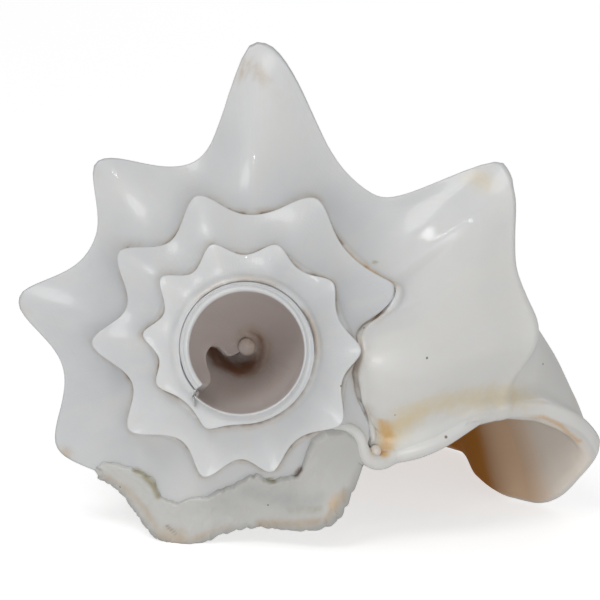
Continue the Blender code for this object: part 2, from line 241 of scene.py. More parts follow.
    def section(
        self, turn: np.ndarray, reach: np.ndarray, share: float = 1.0, spread: float = 1.0
    ) -> tuple[np.ndarray, np.ndarray]:
        """Radius and depth of the wall, before the lip flares.

        Args:
            turn: turns, as one column or in the shape of reach.
            reach: how far along the wall.
            share: share of the knobs' height that is felt.
            spread: how much wider than outside the knobs are.

        Returns:
            Radius and depth, in the shape of reach.
        """
        lift = self.knob_lift(turn, share, spread)
        down_r, down_y = self.below_shoulder(turn, np.maximum(reach - 1, 0), lift)
        if np.min(reach) >= 1:
            return down_r, down_y
        radius, depth = self.shoulder(turn)
        u = np.clip(reach, 0, 1)
        foot_r, foot_y = self.foot(turn, share, spread)
        plain_r, plain_y = self.foot(turn, 0.0, 1.0)
        ramp_r = plain_r + (radius - plain_r) * u + (foot_r - plain_r) * (1 - u) ** 2
        ramp_y = plain_y + (depth - plain_y) * u + (foot_y - plain_y) * (1 - u) ** 2
        ramp_r = ramp_r + lift * math.cos(self.knob_lean) * u**2
        ramp_y = ramp_y - lift * math.sin(self.knob_lean) * u**2 + self.ramp_sag * radius * 4 * u * (1 - u)
        either_side = np.linspace(-1, 1, self.cover_samples) * self.cover_spread
        around = np.asarray(turn, float)[..., None] - WHOLE_TURN + either_side
        climb = self.suture_reach - curve_through(self.lip_suture, around).mean(axis=-1)
        ramp_y = ramp_y - self.lip_cover * climb * np.sin(math.pi * u**self.cover_skew)
        return np.where(reach < 1, ramp_r, down_r), np.where(reach < 1, ramp_y, down_y)

    @functools.cached_property
    def lip_moves(self) -> np.ndarray:
        """Reach, and how far the lip's edge lies from where it would be with no flare."""
        knots = np.array(self.lip_edge)
        end_r, end_y = self.section(np.full(len(knots), self.lip_turn), knots[:, 0])
        swings = knots[:, 1] + 3 * WHOLE_TURN - self.lip_turn
        moves = np.stack([knots[:, 0], swings, knots[:, 2] - end_r, knots[:, 3] - end_y], 1)
        return np.insert(moves, 0, 0.0, axis=0)

    def flare(self, turn: np.ndarray, reach: np.ndarray) -> tuple[np.ndarray, np.ndarray, np.ndarray]:
        """How far the lip's flare moves the wall: in turn, radius and depth."""
        flared = np.clip((turn - self.flare_turn) / (self.lip_turn - self.flare_turn), 0, 1)
        flared = flared**self.flare_power
        swung = np.clip((turn - self.swing_turn) / (self.lip_turn - self.swing_turn), 0, 1)
        swing, out, down = (curve_through(self.lip_moves[:, [0, k]], reach) for k in (1, 2, 3))
        return swung * swing, flared * out, flared * down


def to_xyz(points: np.ndarray) -> np.ndarray:
    """Shell-frame X, Y, Z of rows of turn, radius and depth."""
    turn, r, y = np.moveaxis(points, -1, 0)
    angle = np.radians(turn)
    return np.stack([r * np.cos(angle), y, -r * np.sin(angle)], -1)


def to_turn(xyz: np.ndarray, near: "float | np.ndarray") -> np.ndarray:
    """Rows of turn, radius and depth of shell-frame points, with turns within half a turn of near."""
    x, y, z = np.moveaxis(xyz, -1, 0)
    angle = np.degrees(np.arctan2(-z, x))
    return np.stack([near + (angle - near + 180) % 360 - 180, np.hypot(x, z), y], -1)


def face_normals(xyz: np.ndarray) -> np.ndarray:
    """Unit normals of a grid of wall points, pointing away from the hollow."""
    normals = np.cross(np.gradient(xyz, axis=0), np.gradient(xyz, axis=1))
    return normals / np.maximum(np.linalg.norm(normals, axis=2, keepdims=True), 1e-9)


@dataclass(frozen=True)
class WornTip:
    """A knob whose tip is broken or worn flat: the place and the lean of the plane that ends it."""

    turn: float
    radius: float
    depth: float
    toward_apex: float = 40.0
    lean_turn: float = 0.0
    softness: float = 0.25
    reach: float = 9.0

    def press(self, xyz: np.ndarray) -> np.ndarray:
        """Moves the points past the plane back onto it.

        Args:
            xyz: shell-frame points in mm.

        Returns:
            The points, with the tip flattened.
        """
        angle = math.radians(self.turn)
        centre = np.array([math.cos(angle) * self.radius, self.depth, -math.sin(angle) * self.radius])
        facing = math.radians(self.turn + self.lean_turn)
        tilt = math.radians(self.toward_apex)
        level = math.cos(tilt)
        outward = np.array([math.cos(facing) * level, -math.sin(tilt), -math.sin(facing) * level])
        near = smooth_step(self.reach, 0.7 * self.reach, np.linalg.norm(xyz - centre, axis=-1))
        excess = self.softness * np.logaddexp(0, (xyz - centre) @ outward / self.softness)
        return xyz - (near * excess)[..., None] * outward


@dataclass(frozen=True)
class Crevice:
    """A stretch of a suture that gapes: its first and last turn, and how deep."""

    first: float
    last: float
    depth: float

    def at(self, turn: np.ndarray) -> np.ndarray:
        """How deep the crevice is at each turn, in mm."""
        middle = (self.first + self.last) / 2
        half = (self.last - self.first) / 2
        return self.depth * np.clip(1 - ((turn - middle) / half) ** 2, 0, 1) ** 0.5


@dataclass
class Gathered:
    """Faces gathered from the shell's sheets, over one list of points, before they are welded."""

    points: list[np.ndarray] = field(default_factory=list)
    marks: list[np.ndarray] = field(default_factory=list)
    faces: list[list[int]] = field(default_factory=list)
    count: int = 0

    def add_points(
        self,
        xyz: np.ndarray,
        turn: "float | np.ndarray",
        reach: "float | np.ndarray",
        inside: "float | np.ndarray",
        seam: "float | np.ndarray" = NO_SUTURE,
    ) -> np.ndarray:
        """Adds a grid of points.

        Args:
            xyz: the points in mm.
            turn: their turns, which broadcast over the grid.
            reach: their reaches, likewise.
            inside: 0 on the outer face, 1 on the hollow's face.
            seam: distance from the nearest suture in mm.

        Returns:
            The points' numbers, as a grid.
        """
        shape = xyz.shape[:-1]
        values = (turn, reach, inside, seam)
        marks = [np.broadcast_to(np.asarray(value, float), shape).ravel() for value in values]
        self.points.append(xyz.reshape(-1, 3))
        self.marks.append(np.stack(marks, 1))
        numbers = self.count + np.arange(shape[0] * shape[1]).reshape(shape)
        self.count += numbers.size
        return numbers

    def add_grid(self, numbers: np.ndarray) -> None:
        """Adds a face between each four neighbours of a grid."""
        corners = [numbers[:-1, :-1], numbers[1:, :-1], numbers[1:, 1:], numbers[:-1, 1:]]
        self.faces.extend(np.stack([corner.ravel() for corner in corners], 1).tolist())

    def stitch(self, coarse: np.ndarray, fine: np.ndarray, picks: np.ndarray) -> None:
        """Adds the faces between a row with few points and one with many.

        Args:
            coarse: numbers of the points of the plain row.
            fine: numbers of the points of the detailed row.
            picks: where in the detailed row each point of the plain one belongs.
        """
        for k in range(len(coarse) - 1):
            run = fine[picks[k] : picks[k + 1] + 1][::-1].tolist()
            self.faces.append([int(coarse[k]), int(coarse[k + 1]), *run])

    def to_mesh(self, name: str) -> bpy.types.Mesh:
        """Makes a mesh of the faces, with turn and reach as its UV map.

        Args:
            name: the mesh's name.

        Returns:
            The mesh, in metres in the shell frame, not yet welded.
        """
        points = np.concatenate(self.points)
        marks = np.concatenate(self.marks)
        lengths = np.array([len(face) for face in self.faces])
        corners = np.concatenate([np.array(face) for face in self.faces if face])
        used, corners = np.unique(corners, return_inverse=True)
        mesh = bpy.data.meshes.new(name)
        mesh.vertices.add(len(used))
        mesh.vertices.foreach_set("co", (points[used] * MM).astype(np.float32).ravel())
        mesh.loops.add(len(corners))
        mesh.loops.foreach_set("vertex_index", corners.astype(np.int32))
        mesh.polygons.add(len(lengths))
        mesh.polygons.foreach_set("loop_start", (np.cumsum(lengths) - lengths).astype(np.int32))
        mesh.update(calc_edges=True)
        seen = marks[used]
        uv = mesh.uv_layers.new(name="Growth")
        uv.data.foreach_set("uv", (seen[corners, :2] / (WHOLE_TURN, 2)).astype(np.float32).ravel())
        for k, title in enumerate(("turn", "reach", "inside", "seam")):
            attribute = mesh.attributes.new(title, "FLOAT", "POINT")
            attribute.data.foreach_set("value", seen[:, k].astype(np.float32))
        mesh.validate()
        return mesh


def welded(mesh: bpy.types.Mesh, flat_foot: bool = False) -> bpy.types.Object:
    """Places a gathered mesh in the row frame and welds it into one closed, smooth object.

    Args:
        mesh: the mesh in the shell frame, in metres.
        flat_foot: whether what reaches below the floor is cut off.

    Returns:
        The object, at the origin.
    """
    piece = bpy.data.objects.new(mesh.name, mesh)
    bpy.context.scene.collection.objects.link(piece)
    mesh.transform(placement())
    bpy.ops.object.select_all(action="DESELECT")
    piece.select_set(True)
    bpy.context.view_layer.objects.active = piece
    bpy.ops.object.mode_set(mode="EDIT")
    bpy.ops.mesh.select_all(action="SELECT")
    bpy.ops.mesh.remove_doubles(threshold=2e-6)
    if flat_foot:
        bpy.ops.mesh.select_all(action="SELECT")
        bpy.ops.mesh.bisect(plane_co=(0, 0, 0), plane_no=(0, 0, 1), use_fill=True, clear_inner=True)
    bpy.ops.mesh.select_all(action="SELECT")
    bpy.ops.mesh.normals_make_consistent(inside=False)
    bpy.ops.object.mode_set(mode="OBJECT")
    bpy.ops.object.shade_smooth()
    return piece


@dataclass
class Wall:
    """The shell's whole wall: its outer face, its hollow, its rim and its columella."""

    growth: Growth = field(default_factory=Growth)
    tips: tuple[WornTip, ...] = (
        WornTip(990.8, 69.4, 42.4, 55.0),
        WornTip(953.0, 54.6, 43.8, 55.0),
        WornTip(911.5, 53.0, 43.0, 55.0),
        WornTip(1054.5, 69.6, 44.4, 58.0),
    )
    crevices: tuple[Crevice, ...] = (
        Crevice(948, 968, 0.7),
        Crevice(983, 1009, 0.9),
        Crevice(1024, 1050, 0.5),
    )
    step: float = 1.5
    ramp_columns: int = 30
    ramp_crowding: float = 0.55
    body_columns: int = 80
    body_crowding: float = 1.12
    body_length: float = 2.9
    ground_fade: float = 0.15
    join_reach: float = 0.5
    plain_outer_turns: tuple[float, float] = (-190.0, 700.0)
    plain_inner_turns: tuple[float, float] = (-100.0, 1000.0)
    plain_every_ramp: int = 5
    plain_every_body: int = 8
    column_rows: int = 5
    column_bow: float = 0.12
    rim_rows: int = 9
    ring_rows: int = 8
    ring_dome: float = 0.55
    tip_rows: int = 4
    rim_bulge: float = 1.6
    curl_from_turn: float = 1000.0
    curl_width: float = 8.0
    curl_height: Knots = ((0.1, 1.5), (0.3, 3.2), (1.1, 3.2), (1.3, 1.2), (1.9, 0.8), (2.0, 0.0))
    suture_depth: float = 0.7
    suture_width: float = 0.6
    suture_bead: float = 0.25
    suture_bead_at: float = 1.7
    suture_bead_width: float = 0.9
    ripples: float = 46.0
    ripple_height: float = 0.06
    ripple_turns: tuple[float, float] = (1040.0, 1100.0)
    unevenness: float = 0.05
    bevel: Knots = ((0.0, 1.0), (0.2, 3.6), (1.1, 4.2), (1.25, 2.6), (1.5, 1.2), (1.9, 0.5))
    bevel_width: float = 14.0
    lip_middle: np.ndarray = field(default_factory=lambda: np.zeros((0, 4)))
    broken_edge: Knots = (
        (0, 0), (1.1, 0), (1.3, -5), (1.42, 2), (1.5, 30), (1.62, 42), (1.75, 38), (1.87, 8), (2, 0),
    )
    broken_fade: float = 110.0
    apex_tip_depth: float = 49.0
    canal_tip_depth: float = 182.0

    @property
    def landing(self) -> int:
        """The column that the next turn lands on."""
        return self.ramp_columns

    @functools.cached_property
    def turns(self) -> np.ndarray:
        """The turn of each station, as one column."""
        stations = int(round((self.growth.lip_turn - self.growth.first_turn) / self.step)) + 1
        return (self.growth.first_turn + self.step * np.arange(stations))[:, None]

    @property
    def per_turn(self) -> int:
        """Stations in a whole turn."""
        return int(round(WHOLE_TURN / self.step))

    @functools.cached_property
    def reach(self) -> np.ndarray:
        """The reach of each column at each station."""
        g = self.growth
        t = np.linspace(0, 1, self.ramp_columns + 1)
        ramp = t - self.ramp_crowding * np.sin(2 * math.pi * t) / (2 * math.pi)
        body = np.linspace(0, 1, self.body_columns + 1) ** self.body_crowding
        radius, depth = g.shoulder(self.turns)
        radius_before, depth_before = g.shoulder(self.turns - WHOLE_TURN)
        ramp_length = np.hypot(radius - radius_before, depth - depth_before)
        body_length = self.body_length * radius
        landing = curve_through(g.lip_suture, self.turns)
        along = np.where(landing < 1, landing * ramp_length, ramp_length + (landing - 1) * body_length)
        along = along + g.landing_spread * curve_through(g.wall, self.turns + WHOLE_TURN)
        below = np.where(along < ramp_length, along / ramp_length, 1 + (along - ramp_length) / body_length)
        return np.concatenate([landing * ramp, below + (2 - below) * body], axis=1)

    def broken(self) -> np.ndarray:
        """How far each point moves in turn for the broken edge inside the apex hole."""
        away = np.clip(1 - (self.turns - self.growth.first_turn) / self.broken_fade, 0, 1) ** 2
        return away * curve_through(self.broken_edge, self.reach)

    def outer_points(self) -> np.ndarray:
        """The outer face as turn, radius and depth."""
        g = self.growth
        r, y = g.section(self.turns, self.reach)
        lowered = np.maximum(0, g.ground_face + g.groove - y[:, self.landing])[:, None]
        under = np.arange(self.reach.shape[1]) >= self.landing
        past = self.reach - self.reach[:, self.landing][:, None]
        sunk = y + lowered * np.exp(-past / self.ground_fade)
        y = np.where(under, sunk, np.maximum(y, g.ground_face))
        swing, out, down = g.flare(self.turns, self.reach)
        return np.stack([self.turns + swing + self.broken(), r + out, y + down], -1)

    def hollow_points(self) -> np.ndarray:
        """The hollow's face as turn, radius and depth."""
        g = self.growth
        down = (self.reach - 1) * (1 - (1 - g.hollow_end) * np.clip(self.reach - 1, 0, 1) ** 3)
        reach = np.where(self.reach > 1, 1 + down, self.reach)
        r, y = g.section(self.turns, reach, g.hollow_knob_share, g.hollow_knob_spread)
        first = (self.turns < g.first_turn + WHOLE_TURN)[:, 0]
        radius, depth = g.shoulder(self.turns[first])
        top = (g.ground_face - depth) / (g.steepest_drop * radius)
        steps = np.arange(self.landing + 2) / (self.landing + 1)
        early = down[first]
        early[:, : self.landing + 2] = top + (early[:, self.landing + 1][:, None] - top) * steps
        r[first], y[first] = g.below_shoulder(self.turns[first], early, 0.0)
        swing, out, lower = g.flare(self.turns, np.where(first[:, None], 2.0, reach))
        line = np.stack([self.turns + swing, r + out, y + lower], -1)
        xyz = to_xyz(line)
        thickness = curve_through(g.wall, self.turns)[:, :, None]
        hollow = to_turn(xyz - thickness * face_normals(xyz), line[:, :, 0])
        hollow[:, :, 0] += self.broken()
        hollow[: self.per_turn, 0, 2] = g.ground_face
        return hollow

    def curl(self, xyz: np.ndarray) -> np.ndarray:
        """How far the lip's edge curls out of the wall, for each point of a face, in mm."""
        steps = np.linalg.norm(np.diff(xyz, axis=0), axis=2)
        to_edge = np.concatenate([np.cumsum(steps[::-1], axis=0)[::-1], np.zeros((1, steps.shape[1]))])
        near = np.clip(1 - to_edge / self.curl_width, 0, 1) ** 2
        return near * curve_through(self.curl_height, self.reach) * (self.turns > self.curl_from_turn)

    def drawn_back(self, xyz: np.ndarray) -> np.ndarray:
        """How the outer face stops short of the hollow's face at the lip, so that its end face shows."""
        steps = np.diff(xyz, axis=0)
        lengths = np.linalg.norm(steps, axis=2)
        to_edge = np.concatenate([np.cumsum(lengths[::-1], axis=0)[::-1], np.zeros((1, xyz.shape[1]))])
        forward = np.concatenate([steps, steps[-1:]])
        forward = forward / np.maximum(np.linalg.norm(forward, axis=2, keepdims=True), 1e-9)
        near = np.clip(1 - to_edge / self.bevel_width, 0, 1) ** 2 * (self.turns > self.curl_from_turn)
        return (near * curve_through(self.bevel, self.reach))[:, :, None] * forward

    def seams(self, xyz: np.ndarray) -> tuple[np.ndarray, np.ndarray]:
        """How far each point is, in mm, from the suture it starts at and from the one that covers it."""
        lengths = np.linalg.norm(np.diff(xyz, axis=1), axis=2)
        along = np.concatenate([np.zeros((len(xyz), 1)), np.cumsum(lengths, axis=1)], axis=1)
        later = self.turns > self.growth.first_turn + WHOLE_TURN
        covered = np.arange(len(xyz))[:, None] <= len(self.turns) - 1 - self.per_turn
        to_landing = np.abs(along - along[:, self.landing][:, None])
        return np.where(later, along, NO_SUTURE), np.where(covered, to_landing, NO_SUTURE)

    def relief(self, outer: np.ndarray, xyz: np.ndarray) -> np.ndarray:
        """How far each point of the outer face is raised, in mm.

        Args:
            outer: turn, radius and depth of the face.
            xyz: the same points in the shell frame.

        Returns:
            The rise of each point along its normal.
        """
        g = self.growth
        turn = outer[:, :, 0]
        from_foot, to_landing = self.seams(xyz)
        gape = sum(crevice.at(self.turns) for crevice in self.crevices)
        gape_after = sum(crevice.at(self.turns + WHOLE_TURN) for crevice in self.crevices)
        rise = -(self.suture_depth + gape) * bump(from_foot, self.suture_width)
        rise = rise - (self.suture_depth + gape_after) * bump(to_landing, self.suture_width)
        rise = rise + self.suture_bead * bump(from_foot - self.suture_bead_at, self.suture_bead_width)
        ripples = np.sin(np.radians(turn) * self.ripples + 1.3 * waves(xyz, 30, 5, 2)) * self.ripple_height
        near_lip = smooth_step(*self.ripple_turns, self.turns)
        rise = rise + near_lip * ripples + self.unevenness * waves(xyz, 16, 7, 3)
        return rise * (1 - smooth_step(1.9, 2.0, self.reach))

    def ring(self, outside: np.ndarray, inside: np.ndarray, across: np.ndarray) -> np.ndarray:
        """The ground ring round the apex hole, slightly domed.

        Args:
            outside: the points of its outer edge.
            inside: the points of its inner edge.
            across: where its rows lie, from 0 outside to 1 inside.

        Returns:
            Its points, a row of them for each turn.
        """
        share = across[None, :, None]
        rows = outside[:, None] * (1 - share) + inside[:, None] * share
        rows[:, :, 1] -= self.ring_dome * np.sin(math.pi * across) ** 0.7
        return rows

    def columella(self, inner_end: np.ndarray, outer_end: np.ndarray) -> np.ndarray:
        """Rows from the ends of the hollow's face to the ends of the outer face of the turn before."""
        t = np.linspace(0, 1, self.column_rows + 1)[None, :, None]
        lead = outer_end + [WHOLE_TURN, 0, 0]
        rows = inner_end[:, None] * (1 - t) + lead[:, None] * t
        widths = inner_end[:, None, 1] + outer_end[:, None, 1]
        rows[:, :, 1] -= self.column_bow * widths * 4 * t[:, :, 0] * (1 - t[:, :, 0])
        return rows

    def winding_tip(
        self, edge: np.ndarray, seam: np.ndarray, pole_depth: float, seam_last: bool
    ) -> np.ndarray:
        """A closing strip over one turn's edge, from the edge to a pole on the axis.

        Args:
            edge: the turn's edge.
            seam: the edge of the strips that meet it at one end of the turn.
            pole_depth: the pole's depth.
            seam_last: whether the seam is at the turn's last station.

        Returns:
            The strip as turn, radius and depth.
        """
        share = np.linspace(0, 1, len(seam))[:, None]
        bend = seam - seam[0] - share * (seam[-1] - seam[0])
        to_pole = np.linspace(0, 1, self.tip_rows + 1)[1:, None]
        stations = []
        for i, point in enumerate(edge):
            t = i / (len(edge) - 1)
            grown = t if seam_last else 1 - t
            end = np.array([point[0] + grown * (seam[-1][0] - seam[0][0]), seam[-1][1], seam[-1][2]])
            rows = point + share * (end - point) + grown * bend
            pole = np.array([end[0], 0.0, pole_depth])
            stations.append(np.concatenate([rows, rows[-1] * (1 - to_pole) + pole * to_pole]))
        return np.array(stations)

    def lip_rim(self, outer: np.ndarray, inner: np.ndarray) -> np.ndarray:
        """Rows from the outer to the hollow's face at the lip, rounded out along the growth."""
        forward = inner[-1] - inner[-3]
        forward /= np.linalg.norm(forward, axis=1, keepdims=True)
        rows = []
        for t in np.linspace(0, 1, self.rim_rows + 1):
            row = outer[-1] * (1 - t) + inner[-1] * t + self.rim_bulge * math.sin(math.pi * t) * forward
            row[0] = outer[-1][0] if t < 0.5 else inner[-1][0]
            rows.append(row)
        return np.stack(rows)

    def gather(self) -> Gathered:
        """Works out every sheet and gathers their faces."""
        outer = self.outer_points()
        inner = self.hollow_points()
        outer_xyz = to_xyz(outer)
        for tip in self.tips:
            outer_xyz = tip.press(outer_xyz)
        normals = face_normals(outer_xyz)
        curl = self.curl(outer_xyz)[:, :, None] * normals
        seam = np.minimum(*self.seams(outer_xyz))
        raised = self.relief(outer, outer_xyz)[:, :, None] * normals
        outer_xyz = outer_xyz + raised + curl - self.drawn_back(outer_xyz)
        inner_xyz = to_xyz(inner) + curl
        per_turn, landing = self.per_turn, self.landing
        stations = len(self.turns)
        for i in range(per_turn, stations):
            before = outer_xyz[i - per_turn]
            outer_xyz[i, 0] = before[landing]
            fade = np.clip(1 - self.reach[i] / self.join_reach, 0, 1)[:, None] ** 2
            inner_xyz[i] += fade * (before[landing + 1] - inner_xyz[i, 0])
        inner[:, :, 1:] = to_turn(inner_xyz, inner[:, :, 0])[:, :, 1:]

        columns = self.columella(inner[per_turn:, -1], outer[: stations - per_turn, -1])
        back = np.array([WHOLE_TURN, 0, 0])
        apex_seam = np.concatenate([columns[0], [inner[0, -1] + back]])
        rim = self.lip_rim(outer_xyz, inner_xyz)
        middle = 0.5 * (outer_xyz[-1] + inner_xyz[-1])
        self.lip_middle = np.concatenate([self.reach[-1][:, None], middle], axis=1)
        rim_end = to_turn(rim[::-1, -1], self.growth.lip_turn)
        canal_seam = np.concatenate([columns[-1][::-1], rim_end[1:]]) - back
        last_landing = stations - 1 - per_turn
        apex_tip = self.winding_tip(inner[: per_turn + 1, -1], apex_seam, self.apex_tip_depth, True)
        canal_tip = self.winding_tip(outer[last_landing:, -1], canal_seam, self.canal_tip_depth, False)

        sheets = Gathered()
        outside = sheets.add_points(outer_xyz, self.turns, self.reach, 0.0, seam)
        inside = sheets.add_points(inner_xyz, self.turns, self.reach, 1.0)
        self.add_outer(sheets, outside, last_landing)
        self.add_inner(sheets, inside)
        ring_turns = self.turns[: per_turn + 1]
        across = np.linspace(0, 1, self.ring_rows + 1)
        ring = self.ring(outer_xyz[: per_turn + 1, 0], inner_xyz[: per_turn + 1, 0], across)
        sheets.add_grid(sheets.add_points(ring, ring_turns, 0.0, (across == 1).astype(float)))
        edge = np.stack([outer_xyz[0], inner_xyz[0]])
        sheets.add_grid(sheets.add_points(edge, self.turns[0], self.reach[0], 0.5))
        rim_share = np.linspace(0, 1, self.rim_rows + 1)[:, None]
        sheets.add_grid(sheets.add_points(rim, self.growth.lip_turn, self.reach[-1], rim_share))
        sheets.add_grid(sheets.add_points(to_xyz(columns), self.turns[per_turn:], 2.0, 1.0))
        sheets.add_grid(sheets.add_points(to_xyz(apex_tip), ring_turns, 2.0, 1.0))
        sheets.add_grid(sheets.add_points(to_xyz(canal_tip), self.turns[last_landing:], 2.0, 0.0))
        return sheets

    def add_outer(self, sheets: Gathered, outside: np.ndarray, last_landing: int) -> None:
        """Adds the outer face's faces: detailed where it shows, plain where later turns cover it."""
        landing = self.landing
        sheets.add_grid(outside[:, : landing + 1])
        sheets.add_grid(outside[last_landing:, landing : landing + 2])
        self.add_banded(sheets, outside[:, landing + 1 :], self.plain_body(), self.plain_outer_turns)

    def add_inner(self, sheets: Gathered, inside: np.ndarray) -> None:
        """Adds the hollow's faces: detailed in the apex hole and in the mouth."""
        ramp = np.arange(0, self.landing + 1, self.plain_every_ramp)
        picks = np.concatenate([ramp, self.landing + 1 + self.plain_body()])
        self.add_banded(sheets, inside, picks, self.plain_inner_turns)

    def plain_body(self) -> np.ndarray:
        """The columns below the landing that a plain stretch keeps."""
        return np.arange(0, self.body_columns + 1, self.plain_every_body)

    def add_banded(
        self, sheets: Gathered, numbers: np.ndarray, picks: np.ndarray, plain: tuple[float, float]
    ) -> None:
        """Adds a sheet that keeps only some columns between two turns.

        Args:
            sheets: where the faces go.
            numbers: the sheet's points.
            picks: the columns that the plain stretch keeps.
            plain: the turns between which it is plain.
        """
        first, last = (int(round((turn - self.growth.first_turn) / self.step)) for turn in plain)
        sheets.add_grid(numbers[: first + 1])
        sheets.stitch(numbers[first + 1][picks], numbers[first], picks)
        sheets.add_grid(numbers[first + 1 : last][:, picks])
        sheets.stitch(numbers[last - 1][picks], numbers[last], picks)
        sheets.add_grid(numbers[last:])

    def build(self) -> bpy.types.Object:
        """Makes the wall as one closed, smooth object in the row frame, flat where it rests."""
        return welded(self.gather().to_mesh("milk_conch_shell"), flat_foot=True)


@dataclass(frozen=True)
class Photograph:
    """The photograph's camera, for placing things by its pixels."""

    trees: tuple[BVHTree, ...]

    @classmethod
    def of(cls, pieces: "list[bpy.types.Object]") -> "Photograph":
        """The camera, looking at some pieces."""
        bpy.context.view_layer.update()
        graph = bpy.context.evaluated_depsgraph_get()
        return cls(tuple(BVHTree.FromObject(piece, graph) for piece in pieces))

    @staticmethod
    def place(pixel: tuple[float, float], depth: float) -> np.ndarray:
        """The shell-frame point in mm that a pixel shows at a depth."""
        scale = VIEW_SIDE / PHOTO_SIDE * (depth - CAMERA_AT[1]) / VIEW_DISTANCE
        across = CAMERA_AT[0] + (pixel[0] - PHOTO_SIDE / 2) * scale
        return np.array([across, depth, CAMERA_AT[2] + (PHOTO_SIDE / 2 - pixel[1]) * scale])

    def hit(self, pixel: tuple[float, float]) -> "Vector | None":
        """The place on the pieces that a pixel shows, in the row frame, or nothing where it misses."""
        eye = placement() @ (Vector(CAMERA_AT) * MM)
        ahead = placement() @ (Vector(self.place(pixel, 50.0)) * MM) - eye
        hits = [tree.ray_cast(eye, ahead.normalized()) for tree in self.trees]
        found = [(distance, place) for place, _, _, distance in hits if place is not None]
        return min(found, key=lambda pair: pair[0])[1] if found else None


@dataclass
class Plate:
    """The plate of enamel that the animal laid over the turn under the mouth, with a broken border."""

    growth: Growth = field(default_factory=Growth)
    border: Knots = (
        (98, 465), (106, 465), (114, 461), (122, 463), (130, 466), (139, 470), (146, 474), (152, 477),
        (156, 482), (158, 490), (161, 496), (169, 500), (178, 503), (192, 498), (202, 498), (210, 496),
        (220, 489), (228, 486), (236, 482), (247, 476), (256, 473), (263, 477), (270, 481), (280, 477),
        (290, 475), (297, 474), (302, 465), (306, 452), (312, 438), (324, 430), (340, 428), (346, 429),
    )
    middle_turn: float = 810.0
    last_turn: float = 862.0
    turn_step: float = 0.4
    rows: int = 46
    row_crowding: float = 1.7
    ragged_fade: float = 8.0
    low_reach: float = 1.75
    fade_reach: float = 1.4
    thickness: Knots = ((755, 1.9), (785, 1.7), (800, 1.25), (862, 1.3))
    rounding: Knots = ((755, 1.6), (785, 1.2), (800, 0.5), (862, 0.5))
    broken: Knots = ((785, 0.0), (800, 0.45), (862, 0.5))
    rough: Knots = ((770, 0.05), (790, 0.2), (862, 0.24))
    buried: float = 0.7

    def border_reach(self, photograph: Photograph, turns: np.ndarray) -> np.ndarray:
        """The reach of the plate's border at each turn.

        Args:
            photograph: finds the border's pixels on the wall.
            turns: the turns, as one column.

        Returns:
            Two columns of reaches, the even border and the broken one.
        """
        to_shell = placement().inverted()
        found = []
        for pixel in self.border:
            place = photograph.hit(pixel)
            if place is None:
                continue
            turn, radius, _ = to_turn(np.array(to_shell @ place) / MM, self.middle_turn)
            found.append((turn, radius))
        found.sort()
        turn, radius = np.array(found).T
        levels = np.linspace(0, 1.05, 200)[None, :]
        radii, _ = self.growth.section(turns, np.repeat(levels, len(turns), axis=0))
        wanted = np.interp(turns[:, 0], turn, radius)
        wavy = np.stack([turns[:, 0] * 0.6, np.zeros(len(turns)), np.zeros(len(turns))], 1)
        teeth = waves(wavy, 9.0, 3) + 0.5 * waves(wavy, 2.6, 4)
        ragged = wanted + curve_through(self.broken, turns[:, 0]) * teeth
        pairs = zip(wanted, ragged, radii)
        return np.array([np.interp((even, uneven), row, levels[0]) for even, uneven, row in pairs])

    def build(self, photograph: Photograph) -> bpy.types.Object:
        """Makes the plate, a thin closed sheet that lies on the wall.

        Args:
            photograph: finds the border's pixels on the wall.

        Returns:
            The plate, in the row frame.
        """
        to_shell = placement().inverted()
        corner = photograph.hit(self.border[-1])
        first_turn = float(to_turn(np.array(to_shell @ corner) / MM, self.middle_turn)[0])
        turns = np.arange(first_turn, self.last_turn, self.turn_step)[:, None]
        border = self.border_reach(photograph, turns)
        share = np.linspace(0, 1, self.rows) ** self.row_crowding
        near = (1 - share) ** self.ragged_fade
        even, broken = border[:, :1], border[:, 1:]
        reach = even + (self.low_reach - even) * share + near * (broken - even)
        r, y = self.growth.section(turns, reach)
        xyz = to_xyz(np.stack([np.broadcast_to(turns, r.shape), r, y], -1))
        normals = face_normals(xyz)
        lengths = np.linalg.norm(np.diff(xyz, axis=1), axis=2)
        from_border = np.concatenate([np.zeros((len(xyz), 1)), np.cumsum(lengths, axis=1)], axis=1)
        from_ends = np.minimum(np.radians(turns - turns[0]), np.radians(turns[-1] - turns)) * r
        edge = np.clip(np.minimum(from_border, from_ends) / curve_through(self.rounding, turns), 0, 1)
        top = curve_through(self.thickness, turns) * np.sqrt(1 - (1 - edge) ** 2)
        lumps = waves(xyz, 9.0, 11, 4) + 0.4 * waves(xyz, 2.2, 12, 3)
        top = top + edge * curve_through(self.rough, turns) * lumps
        lowered = smooth_step(self.fade_reach, self.low_reach, reach)
        top = top * (1 - lowered) - self.buried * lowered
        top[0] = top[-1] = -self.buried
        top[:, 0] = top[:, -1] = -self.buried
        sheets = Gathered()
        sheets.add_grid(sheets.add_points(xyz + top[:, :, None] * normals, turns, reach, 0.0))
        sheets.add_grid(sheets.add_points(xyz - self.buried * normals, turns, reach, 0.0))
        return welded(sheets.to_mesh("enamel_plate"), flat_foot=True)


